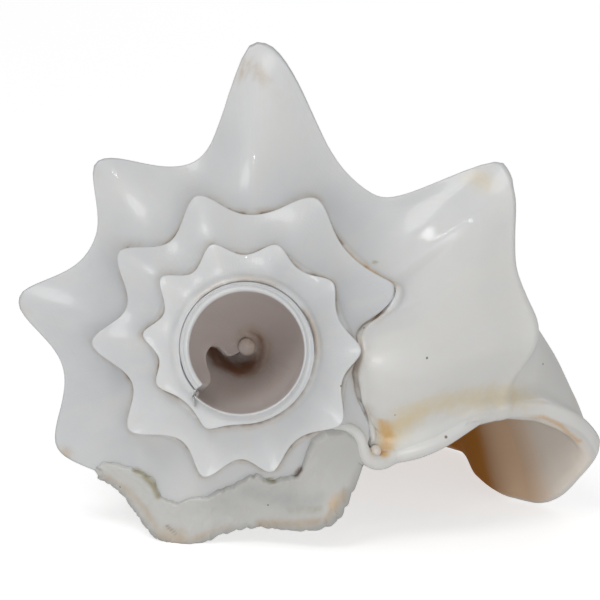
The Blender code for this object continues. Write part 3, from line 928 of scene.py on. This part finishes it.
@dataclass
class NotchBead:
    """The rolled edge of the lip: a bead round the notch and along the rim, and the notch's small curl."""

    path: Knots = (
        (304, 448, 31.5, 0.25), (307, 441, 31.0, 0.5), (314, 434, 30.2, 0.75), (326, 428, 29.9, 0.95),
        (340, 426, 31.6, 1.1), (352, 429, 34.0, 1.25), (360, 437, 35.8, 1.4), (362, 447, 36.8, 1.5),
        (365, 456, 38.0, 1.7), (372, 461, 39.4, 1.9), (382, 462, 41.2, 2.0),
    )
    rim_reaches: tuple[float, ...] = (0.31, 0.38, 0.46, 0.55, 0.65, 0.76, 0.86, 0.94)
    rim_radius: Knots = ((0.31, 2.2), (0.55, 2.5), (0.76, 2.2), (0.94, 0.7))
    rim_proud: float = 0.48
    curl: Knots = ((371, 452, 39.6, 1.0), (375, 451, 39.2, 1.7), (378, 450, 39.6, 1.2))
    sides: int = 7
    smoothness: int = 8

    def places(self, rim: np.ndarray) -> "list[list[tuple[Vector, float]]]":
        """The two curves' places in the row frame, and their radii in mm.

        Args:
            rim: rows of reach and shell-frame X, Y, Z along the middle of the lip's end face.

        Returns:
            One list of places and radii for each curve.
        """
        curves = []
        for knots in (self.path, self.curl):
            curves.append([(Photograph.place((x, y), depth), radius) for x, y, depth, radius in knots])
        for reach in self.rim_reaches:
            place = np.array([np.interp(reach, rim[:, 0], rim[:, k]) for k in (1, 2, 3)])
            radius = float(curve_through(self.rim_radius, reach))
            curves[0].append((place - [0, self.rim_proud * radius, 0], radius))
        return [[(placement() @ (Vector(place) * MM), radius) for place, radius in knots] for knots in curves]

    def build(self, rim: np.ndarray) -> bpy.types.Object:
        """Makes the bead as one mesh, from two smooth curves with a round section.

        Args:
            rim: rows of reach and shell-frame X, Y, Z along the middle of the lip's end face.

        Returns:
            The bead, in the row frame.
        """
        curve = bpy.data.curves.new("notch_bead", "CURVE")
        curve.dimensions = "3D"
        curve.bevel_depth = MM
        curve.bevel_resolution = self.sides
        curve.use_fill_caps = True
        for knots in self.places(rim):
            spline = curve.splines.new("NURBS")
            spline.points.add(len(knots) - 1)
            spline.order_u = 3
            spline.use_endpoint_u = True
            spline.resolution_u = self.smoothness
            for point, (place, radius) in zip(spline.points, knots):
                point.co = (*place, 1.0)
                point.radius = radius
        bead = bpy.data.objects.new("notch_bead", curve)
        bpy.context.scene.collection.objects.link(bead)
        bpy.ops.object.select_all(action="DESELECT")
        bead.select_set(True)
        bpy.context.view_layer.objects.active = bead
        bpy.ops.object.convert(target="MESH")
        bpy.ops.object.shade_smooth()
        return bpy.context.active_object


class Tint(Enum):
    """What a mark on the shell is coloured with."""

    TAN = "tan"
    YELLOW = "yellow"
    ORANGE = "orange"
    # Dark orange-brown for painted shade and glow deep in the apex passage and the columella's groove.
    AMBER_SHADE = "amber_shade"
    BROWN = "brown"
    MOSS = "moss"
    GREY = "grey"


@dataclass(frozen=True)
class Mark:
    """A coloured place: the photograph's pixels that it runs through, its radius in mm, and how strong."""

    name: str
    tint: Tint
    pixels: tuple[tuple[float, float], ...]
    radius: float
    strength: float = 1.0


MARKS: tuple[Mark, ...] = (
    Mark("under the tallest knob's tip", Tint.TAN, ((238, 74), (246, 66), (256, 67), (265, 80)), 1.7, 0.55),
    Mark("flank of the tallest knob", Tint.TAN, ((268, 80), (282, 104)), 2.2, 0.2),
    Mark("left tip", Tint.TAN, ((20, 308), (27, 312)), 1.6, 0.25),
    Mark("upper left tip", Tint.TAN, ((96, 170), (100, 176)), 1.6, 0.2),
    Mark("lower left tip", Tint.TAN, ((54, 450), (64, 455)), 2.4, 0.6),
    Mark("bottom tip", Tint.TAN, ((163, 536), (180, 539)), 2.6, 0.6),
    Mark(
        "bottom outline", Tint.TAN,
        ((100, 474), (130, 492), (148, 514), (165, 538), (190, 540), (230, 527)), 1.3, 0.5,
    ),
    Mark("bottom outline right", Tint.TAN, ((260, 524), (325, 522), (345, 492), (362, 472)), 1.5, 0.7),
    Mark("corner of the plate", Tint.ORANGE, ((331, 504), (335, 498)), 1.3, 0.5),
    Mark("right knob", Tint.YELLOW, ((474, 175), (486, 183)), 3.0, 0.5),
    Mark("right bump", Tint.YELLOW, ((572, 392), (574, 405)), 2.4, 0.35),
    Mark("notch", Tint.ORANGE, ((383, 424), (388, 434), (388, 446), (382, 453)), 1.8, 0.85),
    Mark("curl in the notch", Tint.ORANGE, ((372, 452), (379, 450)), 2.0, 0.4),
    Mark("above the notch", Tint.YELLOW, ((392, 432), (404, 422), (418, 412)), 4.0, 0.8),
    Mark("shade beside the pillar", Tint.TAN, ((252, 334), (264, 346), (264, 360), (252, 370)), 5.0, 0.5),
    Mark("warm floor of the hole", Tint.ORANGE, ((222, 384), (240, 392), (262, 388)), 9.0, 0.2),
    Mark("lip glow", Tint.YELLOW, ((404, 414), (440, 402), (490, 396), (530, 398)), 4.0, 0.6),
    Mark("streak inside the lip", Tint.ORANGE, ((540, 416), (560, 425), (572, 436), (579, 441)), 0.8, 0.7),
    Mark("peach inside the mouth", Tint.ORANGE, ((505, 432), (530, 450), (535, 480)), 6.0, 0.16),
    # Painted shade and glow: the apex passage and the columella's groove are darkened deep orange-brown for
    # their depth and the light through the shell, over the interior's own warm colour.
    Mark("passage in the apex", Tint.AMBER_SHADE, ((214, 352), (222, 362), (234, 368), (246, 368)), 4.2, 1.0),
    Mark("groove of the columella", Tint.AMBER_SHADE, ((252, 362), (260, 352), (260, 341), (253, 335)), 1.8, 0.6),
    Mark("scratched pit", Tint.MOSS, ((136, 471), (146, 477), (154, 486), (158, 496)), 0.9, 0.9),
    Mark("dirt in the crevice", Tint.MOSS, ((268, 479), (274, 481)), 0.7, 0.9),
    Mark("dirt at the suture's end", Tint.MOSS, ((374, 262),), 0.6, 1.0),
    Mark("stain on the plate", Tint.MOSS, ((290, 511), (320, 509)), 1.4, 0.35),
    Mark("smudge on the plate", Tint.GREY, ((250, 492), (275, 498), (300, 503), (318, 500)), 2.8, 0.6),
    Mark("smudge left on the plate", Tint.GREY, ((180, 512), (205, 508), (225, 500)), 2.4, 0.3),
    Mark("crack at the bottom tip", Tint.BROWN, ((167, 526), (175, 533)), 0.5, 0.55),
    # Painted shadow in the gap behind the plate's raised edge.
    Mark("crevice", Tint.BROWN, ((296, 475), (301, 469)), 0.7, 1.0),
)


@dataclass
class Painter:
    """Writes the masks that the finish reads onto the pieces' points."""

    photograph: Photograph
    marks: tuple[Mark, ...] = MARKS
    core: float = 0.75
    # Width in mm of the painted shade beside each suture.
    shade_halo: float = 2.0
    open_sutures: tuple[Crevice, ...] = (
        Crevice(948, 968, 1.0),
        Crevice(983, 1009, 1.0),
        Crevice(1024, 1050, 0.8),
    )
    last_funnel_turn: float = 300.0

    @staticmethod
    def points(piece: bpy.types.Object) -> np.ndarray:
        """A piece's points in metres."""
        co = np.empty(len(piece.data.vertices) * 3, np.float32)
        piece.data.vertices.foreach_get("co", co)
        return co.reshape(-1, 3).astype(float)

    @staticmethod
    def read(piece: bpy.types.Object, name: str) -> np.ndarray:
        """One number for each point."""
        values = np.empty(len(piece.data.vertices), np.float32)
        piece.data.attributes[name].data.foreach_get("value", values)
        return values.astype(float)

    @staticmethod
    def write(piece: bpy.types.Object, name: str, values: np.ndarray) -> None:
        """Keeps one number for each point under a name."""
        attribute = piece.data.attributes.get(name) or piece.data.attributes.new(name, "FLOAT", "POINT")
        attribute.data.foreach_set("value", np.clip(values, 0, 1).astype(np.float32))

    def paint_marks(self, piece: bpy.types.Object) -> None:
        """Writes the masks of the marks, one for each tint."""
        points = self.points(piece)
        masks = {tint: np.zeros(len(points)) for tint in Tint}
        for mark in self.marks:
            places = [self.photograph.hit(pixel) for pixel in mark.pixels]
            places = [np.array(place) for place in places if place is not None]
            if not places:
                LOG.warning("mark %s misses the shell", mark.name)
                continue
            away = self.distance(points, places) / (mark.radius * MM)
            masks[mark.tint] = np.maximum(masks[mark.tint], mark.strength * np.exp(-(away**2)))
        for tint, mask in masks.items():
            self.write(piece, tint.value, mask)

    def paint_wall(self, wall: bpy.types.Object) -> None:
        """Writes the masks that follow the wall's growth: sutures with painted shade in and beside them, lip,
        mouth, funnel and underside.
        """
        turn, reach, inside, seam = (self.read(wall, name) for name in ("turn", "reach", "inside", "seam"))
        outside = (inside < 0.5).astype(float)
        patchy = np.clip(0.66 + 0.5 * waves(self.points(wall) / MM, 13.0, 21), 0.2, 1)
        # Where the sutures gape, their dark line is painted at full strength: painted shade in the open
        # crevices.
        for crevice in self.open_sutures:
            patchy = np.maximum(patchy, crevice.at(turn))
        from_line = self.from_hidden(wall, (reach < 0.5) & (outside > 0) & (seam < 12) & (turn > 140)) / MM
        # The suture's dark line, deepened as painted shade in the crease where the turn before laps over,
        # then a wider painted shade beside it.
        self.write(wall, "suture", outside * patchy * bump(from_line, self.core))
        self.write(wall, "shade_halo", outside * patchy * bump(from_line, self.shade_halo))
        self.write(wall, "lip", smooth_step(1020, 1100, turn) * outside)
        gold = bump(from_line, 1.0) * smooth_step(1034, 1040, turn) * smooth_step(1070, 1062, turn)
        self.write(wall, "orange", np.maximum(self.read(wall, "orange"), 0.8 * outside * gold))
        deep = 0.5 * smooth_step(1.34, 1.52, reach) + 0.5 * smooth_step(1.54, 1.63, reach)
        deep = np.maximum(deep, 0.85 * smooth_step(1104, 1060, turn))
        self.write(wall, "mouth", inside * deep * (turn > self.last_funnel_turn))
        self.write(wall, "funnel", inside * (turn <= self.last_funnel_turn))
        under = smooth_step(1.0, 1.06, reach) * smooth_step(1.5, 1.2, reach)
        under = under * smooth_step(770, 800, turn) * smooth_step(875, 850, turn) * outside
        self.write(wall, "tan", np.maximum(self.read(wall, "tan"), 0.5 * under))

    def from_hidden(self, wall: bpy.types.Object, near_suture: np.ndarray) -> np.ndarray:
        """How far points beside the sutures are from where the turn before hides them, seen from the apex.

        Args:
            wall: the shell's wall.
            near_suture: which points may lie beside a suture.

        Returns:
            A distance in metres for each point, and a metre for the rest.
        """
        points = self.points(wall)
        toward_apex = placement().to_3x3() @ Vector((0, -1, 0))
        numbers = np.flatnonzero(near_suture)
        tree = self.photograph.trees[0]
        hidden = np.zeros(len(points), bool)
        for k in numbers:
            start = Vector(points[k]) + toward_apex * 0.0004
            hidden[k] = tree.ray_cast(start, toward_apex, 0.03)[0] is not None
        covered = np.flatnonzero(hidden)
        search = KDTree(len(covered))
        for k in covered:
            search.insert(Vector(points[k]), int(k))
        search.balance()
        away = np.full(len(points), 1.0)
        for k in numbers:
            if not hidden[k]:
                away[k] = search.find(Vector(points[k]))[2]
        away[covered] = 0.0
        return away

    @staticmethod
    def distance(points: np.ndarray, places: list[np.ndarray]) -> np.ndarray:
        """Each point's distance from the line through the places."""
        nearest = np.linalg.norm(points - places[0], axis=1)
        for a, b in zip(places, places[1:]):
            run = b - a
            share = np.clip((points - a) @ run / max(run @ run, 1e-12), 0, 1)[:, None]
            nearest = np.minimum(nearest, np.linalg.norm(points - a - share * run, axis=1))
        return nearest


class Nodes:
    """Adds and joins the nodes of one tree."""

    def __init__(self, tree: bpy.types.NodeTree) -> None:
        """Keeps the tree."""
        self.tree = tree

    def add(self, kind: str, **settings: object) -> bpy.types.Node:
        """Adds a node and sets its properties."""
        node = self.tree.nodes.new(kind)
        for name, value in settings.items():
            setattr(node, name, value)
        return node

    def feed(self, socket: bpy.types.NodeSocket, value: object) -> None:
        """Joins a socket to another, or sets its value."""
        if isinstance(value, bpy.types.NodeSocket):
            self.tree.links.new(value, socket)
        elif isinstance(value, tuple) and len(value) == 3 and socket.type == "RGBA":
            socket.default_value = (*value, 1.0)
        else:
            socket.default_value = value

    def math(self, operation: str, *values: object) -> bpy.types.NodeSocket:
        """A Math node's result."""
        node = self.add("ShaderNodeMath", operation=operation)
        for socket, value in zip(node.inputs, values):
            self.feed(socket, value)
        return node.outputs[0]

    def mix(self, factor: object, first: object, second: object) -> bpy.types.NodeSocket:
        """A mix of two colours."""
        node = self.add("ShaderNodeMix", data_type="RGBA")
        self.feed(node.inputs[0], factor)
        self.feed(node.inputs[6], first)
        self.feed(node.inputs[7], second)
        return node.outputs[2]

    def rise(self, value: object, low: float, high: float) -> bpy.types.NodeSocket:
        """0 below low, 1 above high and a smooth rise between."""
        node = self.add("ShaderNodeMapRange", interpolation_type="SMOOTHSTEP")
        for socket, number in zip(node.inputs, (value, low, high, 0.0, 1.0)):
            self.feed(socket, number)
        return node.outputs[0]

    def noise(
        self, vector: object, scale: object, detail: float = 4.0, rough: float = 0.55
    ) -> bpy.types.NodeSocket:
        """A noise texture's value."""
        node = self.add("ShaderNodeTexNoise")
        self.feed(node.inputs["Vector"], vector)
        self.feed(node.inputs["Scale"], scale)
        self.feed(node.inputs["Detail"], detail)
        self.feed(node.inputs["Roughness"], rough)
        return node.outputs[0]

    def stretch(self, vector: object, scale: tuple[float, float, float]) -> bpy.types.NodeSocket:
        """A vector scaled along each axis."""
        node = self.add("ShaderNodeMapping")
        self.feed(node.inputs["Vector"], vector)
        self.feed(node.inputs["Scale"], scale)
        return node.outputs[0]

    def attribute(self, name: str) -> bpy.types.NodeSocket:
        """A mask painted on the points."""
        return self.add("ShaderNodeAttribute", attribute_name=name).outputs["Fac"]


def new_group(
    name: str, inputs: dict[str, tuple[str, object]], outputs: dict[str, str]
) -> bpy.types.NodeTree:
    """An empty node group with named sockets.

    Args:
        name: the group's name.
        inputs: each input's socket type and default.
        outputs: each output's socket type.

    Returns:
        The group's tree.
    """
    tree = bpy.data.node_groups.new(name, "ShaderNodeTree")
    for title, (kind, default) in inputs.items():
        socket = tree.interface.new_socket(title, in_out="INPUT", socket_type=kind)
        socket.default_value = default
    for title, kind in outputs.items():
        tree.interface.new_socket(title, in_out="OUTPUT", socket_type=kind)
    return tree


def growth_line_group() -> bpy.types.NodeTree:
    """Fine lines of growth, which run from the suture to the columella, and finer cords across them."""
    inputs = {
        "Growth": ("NodeSocketVector", (0.0, 0.0, 0.0)),
        "Lines": ("NodeSocketFloat", 220.0),
    }
    tree = new_group("Growth lines", inputs, {"Height": "NodeSocketFloat", "Streaks": "NodeSocketFloat"})
    n = Nodes(tree)
    given = n.add("NodeGroupInput")
    made = n.add("NodeGroupOutput")
    fine = n.noise(n.stretch(given.outputs["Growth"], (1.0, 0.02, 1.0)), given.outputs["Lines"], 6.0, 0.7)
    broad = n.noise(n.stretch(given.outputs["Growth"], (1.0, 0.05, 1.0)), 38.0, 3.0, 0.5)
    cords = n.noise(n.stretch(given.outputs["Growth"], (0.03, 1.0, 1.0)), 70.0, 4.0, 0.6)
    lines = n.math("ADD", n.math("MULTIPLY", fine, 0.6), n.math("MULTIPLY", broad, 0.6))
    n.feed(made.inputs["Height"], n.math("ADD", lines, n.math("MULTIPLY", cords, 0.35)))
    n.feed(made.inputs["Streaks"], broad)
    return tree


def ragged_group() -> bpy.types.NodeTree:
    """Breaks up the edge of a painted mask."""
    inputs = {
        "Mask": ("NodeSocketFloat", 0.0),
        "Position": ("NodeSocketVector", (0.0, 0.0, 0.0)),
        "Grain": ("NodeSocketFloat", 400.0),
        "Raggedness": ("NodeSocketFloat", 0.6),
    }
    tree = new_group("Ragged mask", inputs, {"Mask": "NodeSocketFloat"})
    n = Nodes(tree)
    given = n.add("NodeGroupInput")
    made = n.add("NodeGroupOutput")
    noise = n.noise(given.outputs["Position"], given.outputs["Grain"], 5.0, 0.65)
    swing = n.math("MULTIPLY", n.math("SUBTRACT", noise, 0.5), given.outputs["Raggedness"])
    where_marked = n.rise(given.outputs["Mask"], 0.0, 0.3)
    swung = n.math("ADD", given.outputs["Mask"], n.math("MULTIPLY", swing, where_marked))
    n.feed(made.inputs["Mask"], n.rise(swung, 0.04, 0.95))
    return tree


@dataclass(frozen=True)
class ShellFinish:
    """Enamel of a milk conch: cool white outside, warm at the lip, orange deep in the mouth."""

    cool: Colour = (0.665, 0.67, 0.67)
    shade: Colour = (0.60, 0.612, 0.625)
    cream: Colour = (0.70, 0.68, 0.625)
    enamel: Colour = (0.57, 0.567, 0.545)
    tan: Colour = (0.46, 0.34, 0.21)
    yellow: Colour = (0.70, 0.57, 0.33)
    orange: Colour = (0.66, 0.39, 0.12)
    # Painted shade and glow deep in the apex passage, over the interior's own warm colour.
    amber_shade: Colour = (0.24, 0.085, 0.025)
    brown: Colour = (0.14, 0.085, 0.055)
    moss: Colour = (0.29, 0.26, 0.14)
    grey: Colour = (0.42, 0.43, 0.42)
    lip_pale: Colour = (0.77, 0.76, 0.725)
    mouth_pale: Colour = (0.80, 0.73, 0.65)
    mouth_amber: Colour = (0.66, 0.45, 0.29)
    mouth_deep: Colour = (0.50, 0.19, 0.012)
    funnel: Colour = (0.66, 0.60, 0.575)
    roughness: float = 0.40
    mouth_roughness: float = 0.95
    coat: float = 0.22
    coat_roughness: float = 0.08
    translucency: float = 0.12
    translucent_reach: tuple[float, float, float] = (0.004, 0.003, 0.002)
    relief_strength: float = 0.25
    relief_height: float = 0.0004
    speck_pixels: tuple[tuple[float, float, float], ...] = (
        (427, 358, 0.28), (543, 364, 0.24), (364, 328, 0.22), (341, 386, 0.20), (395, 415, 0.16),
        (446, 437, 0.35), (120, 487, 0.2), (268, 505, 0.2),
    )

    def specks(self, n: Nodes, place: bpy.types.NodeSocket, photograph: Photograph) -> bpy.types.NodeSocket:
        """A mask of the tiny dark pits."""
        mask = None
        for x, y, radius in self.speck_pixels:
            spot = photograph.hit((x, y))
            if spot is None:
                continue
            node = n.add("ShaderNodeVectorMath", operation="DISTANCE")
            n.feed(node.inputs[0], place)
            node.inputs[1].default_value = tuple(spot)
            dot = n.rise(node.outputs["Value"], radius * 1.4 * MM, radius * 0.7 * MM)
            mask = dot if mask is None else n.math("MAXIMUM", mask, dot)
        return mask

    def material(self, photograph: Photograph) -> bpy.types.Material:
        """Makes the finish as one material."""
        material = bpy.data.materials.new("Shell enamel")
        material.use_nodes = True
        n = Nodes(material.node_tree)
        principled = material.node_tree.nodes["Principled BSDF"]
        place = n.add("ShaderNodeTexCoord").outputs["Object"]
        growth = n.add("ShaderNodeUVMap", uv_map="Growth").outputs["UV"]
        lines = n.add("ShaderNodeGroup", node_tree=growth_line_group())
        n.feed(lines.inputs["Growth"], growth)
        mottle = n.noise(place, 28.0, 3.0)
        colour = n.mix(n.rise(mottle, 0.35, 0.68), self.cool, self.shade)
        streaks = n.math("MULTIPLY", n.rise(lines.outputs["Streaks"], 0.45, 0.7), 0.25)
        colour = n.mix(streaks, colour, self.cream)
        colour = n.mix(n.math("MULTIPLY", n.attribute("lip"), 0.7), colour, self.lip_pale)
        colour = n.mix(n.attribute("plate"), colour, self.enamel)
        deep = n.attribute("mouth")
        mouth = n.mix(n.rise(deep, 0.0, 0.6), self.mouth_pale, self.mouth_amber)
        mouth = n.mix(n.rise(deep, 0.45, 1.0), mouth, self.mouth_deep)
        colour = n.mix(n.rise(n.attribute("inside"), 0.4, 1.0), colour, mouth)
        colour = n.mix(n.attribute("funnel"), colour, self.funnel)
        ragged = ragged_group()
        for name, tint, strength in (
            # painted shade beside the sutures
            ("shade_halo", self.tan, 0.42),
            ("grey", self.grey, 0.6),
            ("tan", self.tan, 0.8),
            ("yellow", self.yellow, 0.8),
            ("orange", self.orange, 0.85),
            # painted shade and glow in the apex passage and the columella's groove
            ("amber_shade", self.amber_shade, 0.9),
            ("moss", self.moss, 0.85),
            # the sutures' dark line, deepened as painted shade in their creases
            ("suture", self.brown, 0.75),
            # real cracks, and painted shadow in the crevice behind the plate's edge
            ("brown", self.brown, 0.9),
        ):
            edge = n.add("ShaderNodeGroup", node_tree=ragged)
            n.feed(edge.inputs["Mask"], n.attribute(name))
            n.feed(edge.inputs["Position"], place)
            colour = n.mix(n.math("MULTIPLY", edge.outputs["Mask"], strength), colour, tint)
        pits = self.specks(n, place, photograph)
        colour = n.mix(n.math("MULTIPLY", pits, 0.85), colour, self.brown)
        n.feed(principled.inputs["Base Color"], colour)
        matt = n.math("MULTIPLY", deep, n.attribute("inside"))
        rougher = self.mouth_roughness - self.roughness
        n.feed(principled.inputs["Roughness"], n.math("MULTIPLY_ADD", matt, rougher, self.roughness))
        n.feed(principled.inputs["Coat Weight"], n.math("MULTIPLY_ADD", matt, -self.coat, self.coat))
        principled.inputs["Coat Roughness"].default_value = self.coat_roughness
        principled.inputs["Subsurface Weight"].default_value = self.translucency
        principled.inputs["Subsurface Radius"].default_value = self.translucent_reach
        principled.inputs["Subsurface Scale"].default_value = 1.0
        bump_node = n.add("ShaderNodeBump")
        bump_node.inputs["Strength"].default_value = self.relief_strength
        bump_node.inputs["Distance"].default_value = self.relief_height
        n.feed(bump_node.inputs["Height"], n.math("SUBTRACT", lines.outputs["Height"], pits))
        n.feed(principled.inputs["Normal"], bump_node.outputs["Normal"])
        return material


@dataclass(frozen=True)
class Lamp:
    """A round soft light that faces the shell: its place and size in metres, and its power in watts."""

    name: str
    at: tuple[float, float, float]
    size: float
    power: float


@dataclass
class Studio:
    """A plain pale floor, soft lights and the photograph's camera."""

    lamps: tuple[Lamp, ...] = (
        Lamp("key", (-0.5, -0.85, 1.1), 0.6, 5.8),
        Lamp("front", (0.2, -1.3, 0.1), 0.5, 4.8),
        Lamp("behind", (0.5, 1.2, 0.9), 0.8, 2.2),
        Lamp("spark", (0.0, -1.0, 0.8), 0.08, 0.5),
    )
    aim: tuple[float, float, float] = (0.0, 0.0, 0.05)
    floor_size: float = 12.0
    floor_colour: Colour = (0.68, 0.68, 0.68)
    floor_glow: float = 0.62
    floor_bounce: float = 0.2
    sky: float = 0.36

    def floor(self) -> bpy.types.Object:
        """A wide level floor."""
        bpy.ops.object.select_all(action="DESELECT")
        bpy.ops.mesh.primitive_plane_add(size=self.floor_size, location=(0, 0, 0))
        floor = bpy.context.active_object
        floor.name = "floor"
        material = bpy.data.materials.new("Pale floor")
        material.use_nodes = True
        principled = material.node_tree.nodes["Principled BSDF"]
        principled.inputs["Base Color"].default_value = (*self.floor_colour, 1)
        principled.inputs["Roughness"].default_value = 0.9
        principled.inputs["Specular IOR Level"].default_value = 0.0
        principled.inputs["Emission Color"].default_value = (1, 1, 1, 1)
        n = Nodes(material.node_tree)
        seen = n.add("ShaderNodeLightPath").outputs["Is Camera Ray"]
        glow = n.math("MULTIPLY_ADD", seen, self.floor_glow - self.floor_bounce, self.floor_bounce)
        n.feed(principled.inputs["Emission Strength"], glow)
        floor.data.materials.append(material)
        return floor

    def light(self, lamp: Lamp) -> bpy.types.Object:
        """An area light that faces the shell."""
        data = bpy.data.lights.new(lamp.name, "AREA")
        data.shape = "DISK"
        data.size = lamp.size
        data.energy = lamp.power
        light = bpy.data.objects.new(lamp.name, data)
        light.location = lamp.at
        aim = Vector(self.aim) - Vector(lamp.at)
        light.rotation_euler = aim.to_track_quat("-Z", "Y").to_euler()
        bpy.context.scene.collection.objects.link(light)
        return light

    def camera(self) -> bpy.types.Object:
        """The camera, at the photograph's place and width."""
        data = bpy.data.cameras.new("photo_camera")
        data.angle = 2 * math.atan(VIEW_SIDE / 2 / VIEW_DISTANCE)
        data.clip_end = 30
        camera = bpy.data.objects.new("photo_camera", data)
        bpy.context.scene.collection.objects.link(camera)
        facing = Matrix(((1, 0, 0), (0, 0, -1), (0, 1, 0))).to_4x4()
        camera.matrix_world = placement() @ Matrix.Translation(Vector(CAMERA_AT) * MM) @ facing
        bpy.context.scene.camera = camera
        return camera

    def build(self) -> None:
        """Sets the scene around the shell."""
        scene = bpy.context.scene
        scene.view_settings.view_transform = "Standard"
        world = bpy.data.worlds.new("Studio")
        world.use_nodes = True
        n = Nodes(world.node_tree)
        background = world.node_tree.nodes["Background"]
        background.inputs["Color"].default_value = (1, 1, 1, 1)
        seen = n.add("ShaderNodeLightPath").outputs["Is Camera Ray"]
        strength = n.math("MULTIPLY_ADD", seen, 1.0 - self.sky, self.sky)
        n.feed(background.inputs["Strength"], strength)
        scene.world = world
        self.floor()
        for lamp in self.lamps:
            self.light(lamp)
        self.camera()


def main() -> None:
    """Builds the shell and the studio."""
    logging.basicConfig(level=logging.INFO)
    maker = Wall()
    wall = maker.build()
    LOG.info("wall: %d faces", len(wall.data.polygons))
    plate = Plate().build(Photograph.of([wall]))
    LOG.info("plate: %d faces", len(plate.data.polygons))
    bead = NotchBead().build(maker.lip_middle)
    LOG.info("notch bead: %d faces", len(bead.data.polygons))
    pieces = [wall, plate, bead]
    photograph = Photograph.of(pieces)
    painter = Painter(photograph)
    for piece in pieces:
        painter.paint_marks(piece)
    painter.paint_wall(wall)
    painter.write(plate, "plate", np.ones(len(plate.data.vertices)))
    painter.write(bead, "lip", np.ones(len(bead.data.vertices)))
    enamel = ShellFinish().material(photograph)
    for piece in pieces:
        piece.data.materials.append(enamel)
        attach(piece, "root")
    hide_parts("shell")
    Studio().build()


if __name__ == "__main__":
    main()
